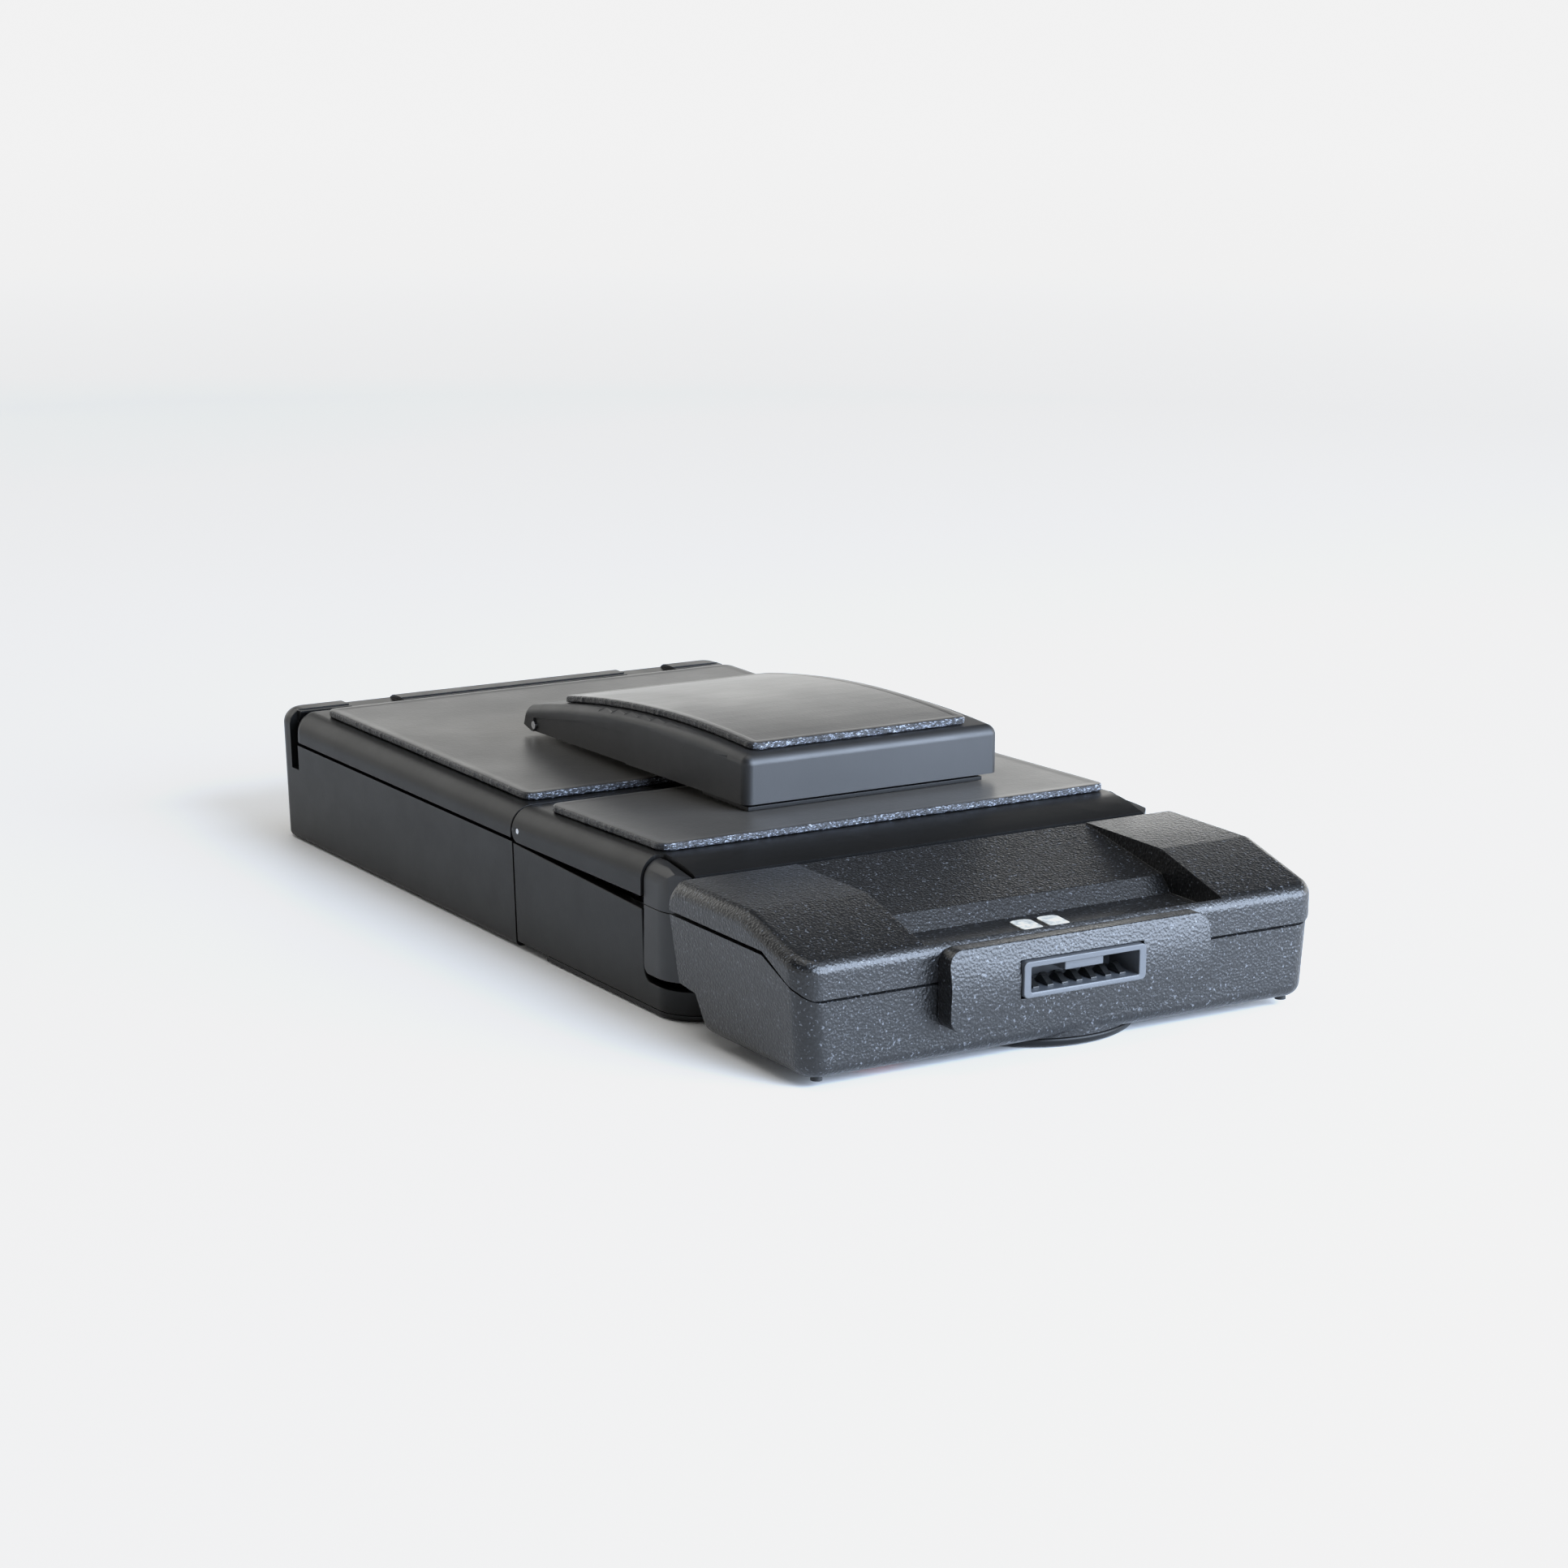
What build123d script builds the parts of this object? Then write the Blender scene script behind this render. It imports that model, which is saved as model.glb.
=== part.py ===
import os
from math import cos, radians, sin

from build123d import *

# Folding instant-film camera, folded flat and lying on its base.
# X is the width, Y runs from the shutter housing (-Y) to the rear (+Y), Z is up.
# The origin is on the base's underside, below the seam between the two top covers.

os.makedirs("parts", exist_ok=True)

# ---- driving dimensions, millimetres ----
half_width = 52.0  # half of the body's width
rear_y = 104.8  # rear end of the body
front_y = -60.0  # front end of the base, under the shutter housing
split_y = 1.1  # seam between the rear and the front body shells
seam_z = 20.2  # top edge of the base shells, below the covers
cover_z = 26.8  # top of the covers' plastic
side_draft = 1.1  # how much the base narrows from its seam to its underside
wall = 1.8  # wall of the moulded shells
gap = 0.3  # parting gap between neighbouring shells
cover_gap = 0.75  # shadow gap between the base and the covers
seam_half = 0.25  # half the gap at the seam between the front and the rear shells
leather = 1.4  # thickness of the leather panels
edge_round = 4.4  # rounding along the covers' long edges
turning_r = 2.6  # radius of the rear cover's end, about its hinge axis

# pivots of the fold, as (y, z)
rear_pivot = (95.2, 24.2)  # base to rear cover
apex_pivot = (-1.3, 22.7)  # rear cover to front cover
apex_pin_r = 0.5
neck_pivot = (-59.9, 26.4)  # front cover to shutter housing
arm_pivot = (-38.0, 19.0)  # shutter housing's arms beside the base's lugs

# shutter housing
housing_half = 54.0
housing_rear_y = -61.0
housing_front_y = -104.0
housing_floor_z = 1.7
housing_top_z = 27.0

# lens, facing down when folded
lens_x = 4.5
lens_y = -84.0

# film door and its rollers
door_thick = 1.0
door_hinge_y = -11.0  # hinge axis of the film door, at half the door's thickness
roller_y = -54.0
lower_roller_z = 5.2
roller_pitch = 7.2  # distance between the two roller axes
roller_r = 3.1
gear_teeth = 16

# viewfinder cap
finder_left = -22.0
finder_right = 33.5
finder_front_y = -33.0
finder_rear_y = 52.6
finder_x = (finder_left + finder_right) / 2
finder_bottom_front = 30.5
finder_bottom_rear = 28.8
finder_pin = (48.6, 30.1)  # silver pin at the cap's rear end, as (y, z)


def rounded_plan(x0, x1, y0, y1, rear_r, front_r):
    """A rectangle in the plan view with its own radius at its rear and its front corners."""
    with BuildSketch() as plan:
        with Locations(((x0 + x1) / 2, (y0 + y1) / 2)):
            Rectangle(x1 - x0, y1 - y0)
        corners = plan.vertices().group_by(Axis.Y)
        if rear_r > 0:
            fillet(corners[-1], rear_r)
        if front_r > 0:
            fillet(plan.vertices().group_by(Axis.Y)[0], front_r)
    return plan.sketch_local


def side_profile(*points):
    """A closed outline in the side view, from (y, z) points."""
    with BuildSketch() as outline:
        with BuildLine():
            Polyline(*points, close=True)
        make_face()
    return outline.sketch_local


def box_between(x0, x1, y0, y1, z0, z1, mode=Mode.ADD):
    """A block between two opposite corners, for use inside a part's own block."""
    with Locations(((x0 + x1) / 2, (y0 + y1) / 2, (z0 + z1) / 2)):
        Box(x1 - x0, y1 - y0, z1 - z0, mode=mode)


def pin_along_x(x0, x1, y, z, radius, mode=Mode.ADD):
    """A cylinder lying along X between two stations."""
    with Locations(Location(((x0 + x1) / 2, y, z), (0, 90, 0))):
        Cylinder(radius, x1 - x0, mode=mode)


# =====================================================================
# BASE
# =====================================================================
screw_spots = [(-45.5, 66.0), (45.5, 66.0), (-45.5, 91.0), (45.5, 91.0)]
tripod_spot = (-14.0, 78.0)
counter_x = -31.0
rear_wall_y = 98.5  # inner face of the end wall beside the covers
bracket_x = 32.5
bracket_half = 5.5
knuckle_r = 1.9  # hinge knuckles on the base
knuckle_top = rear_pivot[1] + knuckle_r

with BuildPart() as rear_body_shell:
    # tapered tub, then the covers' share is taken off above the seam
    add(rounded_plan(side_draft - half_width, half_width - side_draft, -20, rear_y - 0.9, 3.5, 0))
    extrude(amount=27, taper=-2.35)
    box_between(-60, 60, -60, split_y + seam_half, -1, 30, Mode.SUBTRACT)
    box_between(-60, 60, 0, rear_wall_y, seam_z, 30, Mode.SUBTRACT)
    fillet(rear_body_shell.edges().group_by(Axis.Z)[0].filter_by(lambda e: e.center().Y > 3), 1.1)
    rim = rear_body_shell.faces().sort_by(Axis.Z)[-1].edges()
    fillet(rim.filter_by(lambda e: e.center().Y > rear_wall_y + 0.3), 3.2)
    # inside
    inner = rounded_plan(-48.9, 48.9, split_y, rear_wall_y + 2.8, 3, 0)
    with BuildSketch(Plane.XY.offset(wall)):
        add(inner)
    extrude(amount=seam_z, mode=Mode.SUBTRACT)
    # floor lip that runs forward to the film door
    box_between(-49.0, 49.0, door_hinge_y + 0.8, 4, 0, door_thick)
    # top of the end wall leans over the covers' round end, which turns below it
    box_between(-50, 50, rear_pivot[0] + 1.8, rear_wall_y + 1, 20, cover_z)
    pin_along_x(-60, 60, rear_pivot[0], rear_pivot[1], turning_r + gap, Mode.SUBTRACT)
    box_between(-60, 60, rear_pivot[0], rear_wall_y, 15, rear_pivot[1], Mode.SUBTRACT)
    # screw posts and the tripod bush's seat
    with Locations(*[(x, y, wall) for x, y in screw_spots]):
        Cylinder(2.6, 6.2, align=(Align.CENTER, Align.CENTER, Align.MIN))
    with Locations(*[(x, y, 0) for x, y in screw_spots]):
        Cylinder(2.05, 1.5, align=(Align.CENTER, Align.CENTER, Align.MIN), mode=Mode.SUBTRACT)
        Cylinder(1.05, 7.5, align=(Align.CENTER, Align.CENTER, Align.MIN), mode=Mode.SUBTRACT)
    with Locations((tripod_spot[0], tripod_spot[1], 0)):
        Cylinder(6.05, 5, align=(Align.CENTER, Align.CENTER, Align.MIN), mode=Mode.SUBTRACT)
    # counter window in the rear wall, and the two hinge notches in its top edge
    box_between(counter_x - 4, counter_x + 4, rear_y - 7, rear_y + 2, 9.5, 14.5, Mode.SUBTRACT)
    for side in (-1, 1):
        centre = side * bracket_x
        box_between(centre - 6, centre + 6, rear_wall_y - 3, rear_y + 2, knuckle_top, 30, Mode.SUBTRACT)
        box_between(centre - 6, centre + 6, rear_wall_y - 3, rear_wall_y + 0.1, 15, 30, Mode.SUBTRACT)
rear_body_shell.part.label = "rear_body_shell"
export_step(rear_body_shell.part, "parts/rear_body_shell.step")

with BuildPart() as rear_hinge_brackets:
    for side in (-1, 1):
        centre = side * bracket_x
        block_rear = rear_wall_y - 0.1
        block = side_profile((92.6, 15.0), (block_rear, 15.0), (block_rear, 24.2), (92.6, 24.2))
        with BuildSketch(Plane.YZ.offset(centre)):
            add(block)
            with Locations(rear_pivot):
                Circle(knuckle_r)
        extrude(amount=bracket_half, both=True)
        pin_along_x(centre - 6, centre + 6, rear_pivot[0], rear_pivot[1], 1.02, Mode.SUBTRACT)
rear_hinge_brackets.part.label = "rear_hinge_brackets"
export_step(rear_hinge_brackets.part, "parts/rear_hinge_brackets.step")

with BuildPart() as rear_hinge_pins:
    for side in (-1, 1):
        centre = side * bracket_x
        pin_along_x(centre - 9, centre + 9, rear_pivot[0], rear_pivot[1], 1.0)
rear_hinge_pins.part.label = "rear_hinge_pins"
export_step(rear_hinge_pins.part, "parts/rear_hinge_pins.step")

with BuildPart() as front_body_shell:
    # two side walls joined by a cross strip and by the lip's wrapped corners
    with BuildSketch(Plane.XY.offset(door_thick + 0.1)):
        add(rounded_plan(-half_width + 1.0, half_width - 1.0, front_y, 6, 0, 8))
    extrude(amount=19.1, taper=-2.35)
    box_between(-60, 60, split_y - seam_half, 20, -1, 30, Mode.SUBTRACT)
    box_between(-60, 60, front_y - 8, front_y, -1, 30, Mode.SUBTRACT)
    with BuildSketch(Plane.XY.offset(door_thick)):
        add(rounded_plan(-49.6, 49.6, front_y + wall, 30, 0, 6.2))
    extrude(amount=30, mode=Mode.SUBTRACT)
    # the top edge falls towards the front
    wedge = side_profile((5, seam_z), (-48, 18.5), (-70, 17.8), (-70, 40), (5, 40))
    with BuildSketch(Plane.YZ):
        add(wedge)
    extrude(amount=60, both=True, mode=Mode.SUBTRACT)
    # recess for the neck, and the door's lip in the middle
    with BuildSketch(Plane.YZ):
        with BuildLine():
            Polyline((-47.4, 40), (-47.4, 8.0))
            RadiusArc((-47.4, 8.0), (-49.9, 5.5), 2.5)
            Polyline((-49.9, 5.5), (-75, 5.5), (-75, 40), (-47.4, 40))
        make_face()
    extrude(amount=60, both=True, mode=Mode.SUBTRACT)
    box_between(-44.8, 44.8, front_y - 3, front_y + 12, -1, 12, Mode.SUBTRACT)
    # cross strip beside the seam
    box_between(-50, 50, -2.4, split_y - seam_half, door_thick + 0.1, 2.6)
    # lugs beside the housing's arms
    for side in (-1, 1):
        pin_along_x(min(side * 47.4, side * 50.2), max(side * 47.4, side * 50.2), -36.0, 14.5, 2.6)
    # latch slot in the right side
    box_between(48, 54, -34, -22, 5.0, 8.6, Mode.SUBTRACT)
front_body_shell.part.label = "front_body_shell"
export_step(front_body_shell.part, "parts/front_body_shell.step")

with BuildPart() as chassis_frame:
    with BuildSketch(Plane.XY.offset(12.2)):
        add(rounded_plan(-48.4, 48.4, -30, 92, 2, 2))
        with Locations((0, 14)):
            Rectangle(78, 84, mode=Mode.SUBTRACT)
    extrude(amount=1.2)
    box_between(-30, 43.8, 66, 95, 11, 14, Mode.SUBTRACT)
    for side in (-1, 1):
        box_between(side * 45.4 - 0.6, side * 45.4 + 0.6, -28, 60, 1.9, 12.4)
        box_between(side * 45.4 - 0.6, side * 45.4 + 0.6, -28, 4, 0, 2.8, Mode.SUBTRACT)
chassis_frame.part.label = "chassis_frame"
export_step(chassis_frame.part, "parts/chassis_frame.step")

with BuildPart() as tripod_socket:
    with Locations((tripod_spot[0], tripod_spot[1], 0)):
        Cylinder(6.0, 1.7, align=(Align.CENTER, Align.CENTER, Align.MIN))
        Cylinder(4.6, 8.0, align=(Align.CENTER, Align.CENTER, Align.MIN))
        Cylinder(2.55, 6.5, align=(Align.CENTER, Align.CENTER, Align.MIN), mode=Mode.SUBTRACT)
tripod_socket.part.label = "tripod_socket"
export_step(tripod_socket.part, "parts/tripod_socket.step")

with BuildPart() as base_screws:
    with Locations(*[(x, y, 0.3) for x, y in screw_spots]):
        Cylinder(1.95, 1.1, align=(Align.CENTER, Align.CENTER, Align.MIN))
        Cylinder(0.98, 6.6, align=(Align.CENTER, Align.CENTER, Align.MIN))
    for x, y in screw_spots:
        box_between(x - 1.3, x + 1.3, y - 0.25, y + 0.25, 0.2, 0.8, Mode.SUBTRACT)
        box_between(x - 0.25, x + 0.25, y - 1.3, y + 1.3, 0.2, 0.8, Mode.SUBTRACT)
base_screws.part.label = "base_screws"
export_step(base_screws.part, "parts/base_screws.step")

with BuildPart() as counter_window:
    box_between(counter_x - 3.9, counter_x + 3.9, rear_y - 1.6, rear_y - 0.6, 9.6, 14.4)
counter_window.part.label = "counter_window"
export_step(counter_window.part, "parts/counter_window.step")

counter_y = 97.0
counter_z = 8.4
with BuildPart() as counter_wheel:
    with BuildSketch(Plane.XZ.offset(-counter_y)):
        with Locations((counter_x, counter_z)):
            Circle(6.2)
            Circle(1.05, mode=Mode.SUBTRACT)
    extrude(amount=-1.6)
counter_wheel.part.label = "counter_wheel"
export_step(counter_wheel.part, "parts/counter_wheel.step")

with BuildPart() as counter_axle:
    with BuildSketch(Plane.XZ.offset(-93.0)):
        with Locations((counter_x, counter_z)):
            Circle(1.0)
    extrude(amount=-7.5)
    box_between(counter_x - 3, counter_x + 3, 92.0, 93.4, wall, counter_z + 1.5)
counter_axle.part.label = "counter_axle"
export_step(counter_axle.part, "parts/counter_axle.step")

# film pack with its battery and pressure spring
pack_half = 44.0
pack_front = -46.0
pack_rear = 60.0
with BuildPart() as film_pack_case:
    box_between(-pack_half, pack_half, pack_front, pack_rear, 2.9, 11.9)
    box_between(-pack_half + 1, pack_half - 1, pack_front + 1, pack_rear - 1, 3.9, 10.9, Mode.SUBTRACT)
    box_between(-39.5, 39.5, -27, 52, 10, 13, Mode.SUBTRACT)
    box_between(-41, 41, pack_front - 1, pack_front + 2, 9.2, 10.6, Mode.SUBTRACT)
film_pack_case.part.label = "film_pack_case"
export_step(film_pack_case.part, "parts/film_pack_case.step")

with BuildPart() as film_stack:
    box_between(-42.8, 42.8, pack_front + 1.2, pack_rear - 1.2, 7.4, 10.8)
film_stack.part.label = "film_stack"
export_step(film_stack.part, "parts/film_stack.step")

with BuildPart() as pack_spring:
    box_between(-36, 36, -34, 50, 6.6, 7.2)
    for side in (-1, 1):
        leaf = side_profile((-28, 6.6), (8, 5.2), (44, 6.6), (44, 6.9), (-28, 6.9))
        with BuildSketch(Plane.YZ.offset(side * 20)):
            add(leaf)
        extrude(amount=4, both=True)
pack_spring.part.label = "pack_spring"
export_step(pack_spring.part, "parts/pack_spring.step")

with BuildPart() as pack_battery:
    box_between(-41, 41, -40, 52, 4.0, 5.0)
pack_battery.part.label = "pack_battery"
export_step(pack_battery.part, "parts/pack_battery.step")

with BuildPart() as main_board:
    box_between(-44, -20, 63.5, 88, 15.0, 16.2)
    box_between(-40, -32, 68, 76, 16.2, 17.6)
    box_between(-28, -23, 70, 80, 16.2, 18.2)
main_board.part.label = "main_board"
export_step(main_board.part, "parts/main_board.step")

with BuildPart() as drive_motor:
    pin_along_x(8, 34, 80, 9.2, 5.6)
    pin_along_x(34, 37, 80, 9.2, 1.0)
drive_motor.part.label = "drive_motor"
export_step(drive_motor.part, "parts/drive_motor.step")

with BuildPart() as gearbox:
    box_between(37.2, 42.6, 70, 91, 2.2, 17.0)
    fillet(gearbox.edges().filter_by(Axis.X), 1.5)
gearbox.part.label = "gearbox"
export_step(gearbox.part, "parts/gearbox.step")

with BuildPart() as bellows:
    # the folded pleats lie flat as a frame around the light path
    for layer in range(6):
        inset = 0.8 * (layer % 2)
        with BuildSketch(Plane.XY.offset(13.5 + layer * 0.9)):
            add(rounded_plan(-42 + inset, 42 - inset, -28 + inset, 60 - inset, 2, 2))
            add(rounded_plan(-37 - inset, 37 + inset, -23 - inset, 55 + inset, 2, 2), mode=Mode.SUBTRACT)
        extrude(amount=0.9)
bellows.part.label = "bellows"
export_step(bellows.part, "parts/bellows.step")

with BuildPart() as fresnel_carrier:
    box_between(-35, 35, -21, 53, 13.6, 15.0)
    box_between(-32, 32, -18, 50, 14.2, 16, Mode.SUBTRACT)
    pin_along_x(-34, 34, 53.0, 15.0, 0.9)
fresnel_carrier.part.label = "fresnel_carrier"
export_step(fresnel_carrier.part, "parts/fresnel_carrier.step")

with BuildPart() as fresnel_mirror:
    box_between(-31.8, 31.8, -17.8, 49.8, 14.25, 15.4)
fresnel_mirror.part.label = "fresnel_mirror"
export_step(fresnel_mirror.part, "parts/fresnel_mirror.step")

with BuildPart() as door_latch:
    box_between(50.3, 52.4, -30, -23, 5.2, 8.4)
    box_between(48.9, 50.3, -31, -22.5, 5.6, 8.0)
    for rib in range(4):
        y = -29.2 + rib * 1.7
        box_between(52.3, 52.8, y, y + 0.7, 5.5, 8.1)
door_latch.part.label = "door_latch"
export_step(door_latch.part, "parts/door_latch.step")

# =====================================================================
# FILM DOOR
# =====================================================================
with BuildPart() as film_door:
    add(rounded_plan(-half_width + 1.1, half_width - 1.1, front_y + 0.1, door_hinge_y, 0, 8))
    extrude(amount=door_thick)
    edge_ring = film_door.faces().sort_by(Axis.Z)[0].edges()
    chamfer(edge_ring.filter_by(lambda e: e.center().Y < door_hinge_y - 1), 0.3)
    # round knuckle along the hinge axis
    pin_along_x(1.1 - half_width, half_width - 1.1, door_hinge_y, door_thick / 2, door_thick / 2)
    # lip below the picture slot
    box_between(-44.4, 44.4, front_y + 0.1, front_y + 1.8, door_thick - 0.2, 5.4)
    # end plates that carry the rollers
    for side in (-1, 1):
        box_between(side * 43.6 - 0.8, side * 43.6 + 0.8, front_y + 1.2, -50.8, door_thick - 0.2, 16.4)
        for z in (lower_roller_z, lower_roller_z + roller_pitch):
            pin_along_x(side * 43.6 - 2, side * 43.6 + 2, roller_y, z, 1.05, Mode.SUBTRACT)
film_door.part.label = "film_door"
export_step(film_door.part, "parts/film_door.step")

module = roller_pitch / gear_teeth


def roller_parts(z, phase):
    """Roller tube, journals and end gear, inside the caller's block."""
    pin_along_x(-42.4, 36.4, roller_y, z, roller_r)
    pin_along_x(-44.8, 44.8, roller_y, z, 1.0)
    root_r = roller_pitch / 2 - 1.25 * module
    tip_r = roller_pitch / 2 + 0.9 * module
    pin_along_x(37.4, 42.0, roller_y, z, root_r)
    for tooth in range(gear_teeth):
        angle = (tooth + phase) * 360 / gear_teeth
        spoke = (0, cos(radians(angle)), sin(radians(angle)))
        end_face = Plane((37.4, roller_y, z), x_dir=spoke, z_dir=(1, 0, 0))
        with BuildSketch(end_face) as tooth_face:
            with BuildLine():
                Polyline(
                    (root_r - 0.2, -0.42), (tip_r, -0.16), (tip_r, 0.16), (root_r - 0.2, 0.42), close=True
                )
            make_face()
        extrude(tooth_face.sketch, amount=4.6)


with BuildPart() as lower_roller:
    roller_parts(lower_roller_z, 0)
lower_roller.part.label = "lower_roller"
export_step(lower_roller.part, "parts/lower_roller.step")

with BuildPart() as upper_roller:
    roller_parts(lower_roller_z + roller_pitch, 0.5)
upper_roller.part.label = "upper_roller"
export_step(upper_roller.part, "parts/upper_roller.step")

# =====================================================================
# REAR COVER
# =====================================================================
cover_bottom = seam_z + cover_gap
with BuildPart() as rear_cover:
    # side view: flat top, rear end round about the hinge axis
    with BuildSketch(Plane.YZ):
        with BuildLine():
            Polyline(
                (rear_pivot[0], cover_bottom), (split_y + seam_half, cover_bottom),
                (split_y + seam_half, cover_z), (rear_pivot[0], cover_z)
            )
            RadiusArc((rear_pivot[0], cover_z), (rear_pivot[0] + turning_r, rear_pivot[1]), turning_r)
            end_y = rear_pivot[0] + turning_r
            Line((end_y, rear_pivot[1]), (end_y, rear_pivot[1] - 0.4))
            Line((rear_pivot[0] + turning_r, rear_pivot[1] - 0.4), (rear_pivot[0], cover_bottom))
        make_face()
    extrude(amount=half_width, both=True)
    long_top = rear_cover.edges().filter_by(Axis.Y).group_by(Axis.Z)[-1]
    fillet(long_top, edge_round)
    # hollow underside with a solid bar round the hinge axis
    box_between(-49.8, 49.8, -5, 89.0, 10, cover_z - 1.6, Mode.SUBTRACT)
    for side in (-1, 1):
        centre = side * bracket_x
        box_between(centre - 6, centre + 6, 91.6, 100, 10, 30, Mode.SUBTRACT)
        pin_along_x(centre - 9.2, centre + 9.2, rear_pivot[0], rear_pivot[1], 1.05, Mode.SUBTRACT)
        # ear that reaches forward inside the front cover
        ear = side_profile((6, 22.0), (6, 24.9), (-1.3, 24.9), (-1.3, 20.8), (1.0, 20.8))
        with BuildSketch(Plane.YZ.offset(side * 48.6)):
            add(ear)
            with Locations(apex_pivot):
                Circle(2.2)
        extrude(amount=0.9, both=True)
        box_between(side * 48.9 - 1.2, side * 48.9 + 1.2, 1.6, 8, 21.3, 25.6)
        bore_r = apex_pin_r + 0.02
        pin_along_x(side * 48.6 - 2, side * 48.6 + 2, apex_pivot[0], apex_pivot[1], bore_r, Mode.SUBTRACT)
rear_cover.part.label = "rear_cover"
export_step(rear_cover.part, "parts/rear_cover.step")

with BuildPart() as rear_cover_leather:
    with BuildSketch(Plane.XY.offset(cover_z + 0.02)):
        add(rounded_plan(-47.6, 47.6, 3.3, 90.7, 2.6, 2.6))
    extrude(amount=leather)
    fillet(rear_cover_leather.faces().sort_by(Axis.Z)[-1].edges(), 0.4)
rear_cover_leather.part.label = "rear_cover_leather"
export_step(rear_cover_leather.part, "parts/rear_cover_leather.step")

with BuildPart() as taking_mirror:
    with BuildSketch(Plane.XY.offset(23.4)):
        with BuildLine():
            Polyline((-30, 12), (30, 12), (38, 78), (-38, 78), close=True)
        make_face()
    extrude(amount=1.6)
taking_mirror.part.label = "taking_mirror"
export_step(taking_mirror.part, "parts/taking_mirror.step")

with BuildPart() as mirror_clips:
    for side in (-1, 1):
        for y in (20, 70):
            x = side * (31 + (y - 12) * 8 / 66 + 1.8)
            box_between(x - 2.6, x + 2.6, y, y + 6, 22.6, 23.3)
            box_between(x + side * 1.2 - 1.4, x + side * 1.2 + 1.4, y, y + 6, 23.2, cover_z - 1.62)
mirror_clips.part.label = "mirror_clips"
export_step(mirror_clips.part, "parts/mirror_clips.step")

with BuildPart() as apex_pins:
    for side in (-1, 1):
        ends = sorted((side * 47.5, side * 52.0))
        pin_along_x(ends[0], ends[1], apex_pivot[0], apex_pivot[1], apex_pin_r)
apex_pins.part.label = "apex_pins"
export_step(apex_pins.part, "parts/apex_pins.step")

# =====================================================================
# FRONT COVER
# =====================================================================
tongue_half = 47.9
tongue_y = -47.5
cover_rise = 1.5  # the front cover rises by this much towards the front
front_seam = split_y - seam_half
apex_r = front_seam - apex_pivot[0]  # the front cover's end is round about the apex axis
with BuildPart() as front_cover:
    with BuildSketch(Plane.YZ):
        with BuildLine():
            Polyline((front_seam, apex_pivot[1]), (front_seam, cover_z), (-50, cover_z + cover_rise))
            Spline((-50, cover_z + cover_rise), (-55.5, cover_z + 0.75), (-59.4, cover_z - 0.25))
            Polyline((-59.4, cover_z - 0.25), (-59.4, seam_z + 0.8), (apex_pivot[0], apex_pivot[1] - apex_r))
            RadiusArc((apex_pivot[0], apex_pivot[1] - apex_r), (front_seam, apex_pivot[1]), -apex_r)
        make_face()
    extrude(amount=half_width, both=True)
    crest = front_cover.edges().filter_by(lambda e: abs(e.center().X) > 51.9)
    crest = crest.filter_by(lambda e: e.center().Z > cover_z - 0.3 and abs(e.tangent_at(0.5).Y) > 0.9)
    fillet(crest, edge_round)
    # hollow underside
    under = side_profile(
        (5, 10), (5, cover_z - 1.6), (-50, cover_z + cover_rise - 1.9), (-60, 25.2), (-60, 10)
    )
    with BuildSketch(Plane.YZ):
        add(under)
    extrude(amount=49.8, both=True, mode=Mode.SUBTRACT)
    # ahead of the side skirts only the tongue between the neck's shoulders goes on
    for side in (-1, 1):
        with BuildSketch(Plane.XY.offset(10)):
            with BuildLine():
                Polyline((side * 60, tongue_y), (side * (tongue_half + 1.6), tongue_y))
                Spline(
                    (side * (tongue_half + 1.6), tongue_y),
                    (side * (tongue_half + 0.45), tongue_y - 0.45),
                    (side * tongue_half, tongue_y - 1.6),
                )
                Polyline(
                    (side * tongue_half, tongue_y - 1.6), (side * tongue_half, -70),
                    (side * 60, -70), (side * 60, tongue_y)
                )
            make_face()
        extrude(amount=25, mode=Mode.SUBTRACT)
    # running holes for the apex pins
    for side in (-1, 1):
        bore_r = apex_pin_r + 0.05
        pin_along_x(side * 51 - 2, side * 51 + 2, apex_pivot[0], apex_pivot[1], bore_r, Mode.SUBTRACT)
front_cover.part.label = "front_cover"
export_step(front_cover.part, "parts/front_cover.step")

cover_slope = cover_rise / (50 + front_seam)  # rise per millimetre of the front cover's top


def cover_top(y):
    """Height of the front cover's plastic at a station."""
    return cover_z + (front_seam - y) * cover_slope


with BuildPart() as front_cover_leather:
    sheet = side_profile(
        (-5.7, cover_top(-5.7) + 0.03), (-5.7, cover_top(-5.7) + leather),
        (-48.0, cover_top(-48.0) + leather), (-48.0, cover_top(-48.0) + 0.03)
    )
    with BuildSketch(Plane.YZ):
        add(sheet)
    extrude(amount=48.0, both=True)
    fillet(front_cover_leather.edges().filter_by(Axis.Z), 2.6)
front_cover_leather.part.label = "front_cover_leather"
export_step(front_cover_leather.part, "parts/front_cover_leather.step")

with BuildPart() as neck_hinge_strip:
    box_between(-38, 38, -58.8, -52, 24.4, 24.9)
neck_hinge_strip.part.label = "neck_hinge_strip"
export_step(neck_hinge_strip.part, "parts/neck_hinge_strip.step")

with BuildPart() as finder_base:
    foot = cover_top(finder_front_y) + leather + 0.08
    # plinth that shows below the cap's front edge, and the block inside the cap
    plinth_top = finder_bottom_front - 0.45
    box_between(finder_left + 0.9, finder_right - 3.4, finder_front_y + 0.5, -16, foot, plinth_top)
    box_between(finder_left + 3, finder_right - 3.6, -29.5, -8, foot, foot + 4.2)
    box_between(finder_left + 8, finder_right - 8, -24, -10, foot + 1, foot + 5, Mode.SUBTRACT)
finder_base.part.label = "finder_base"
export_step(finder_base.part, "parts/finder_base.step")

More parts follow.
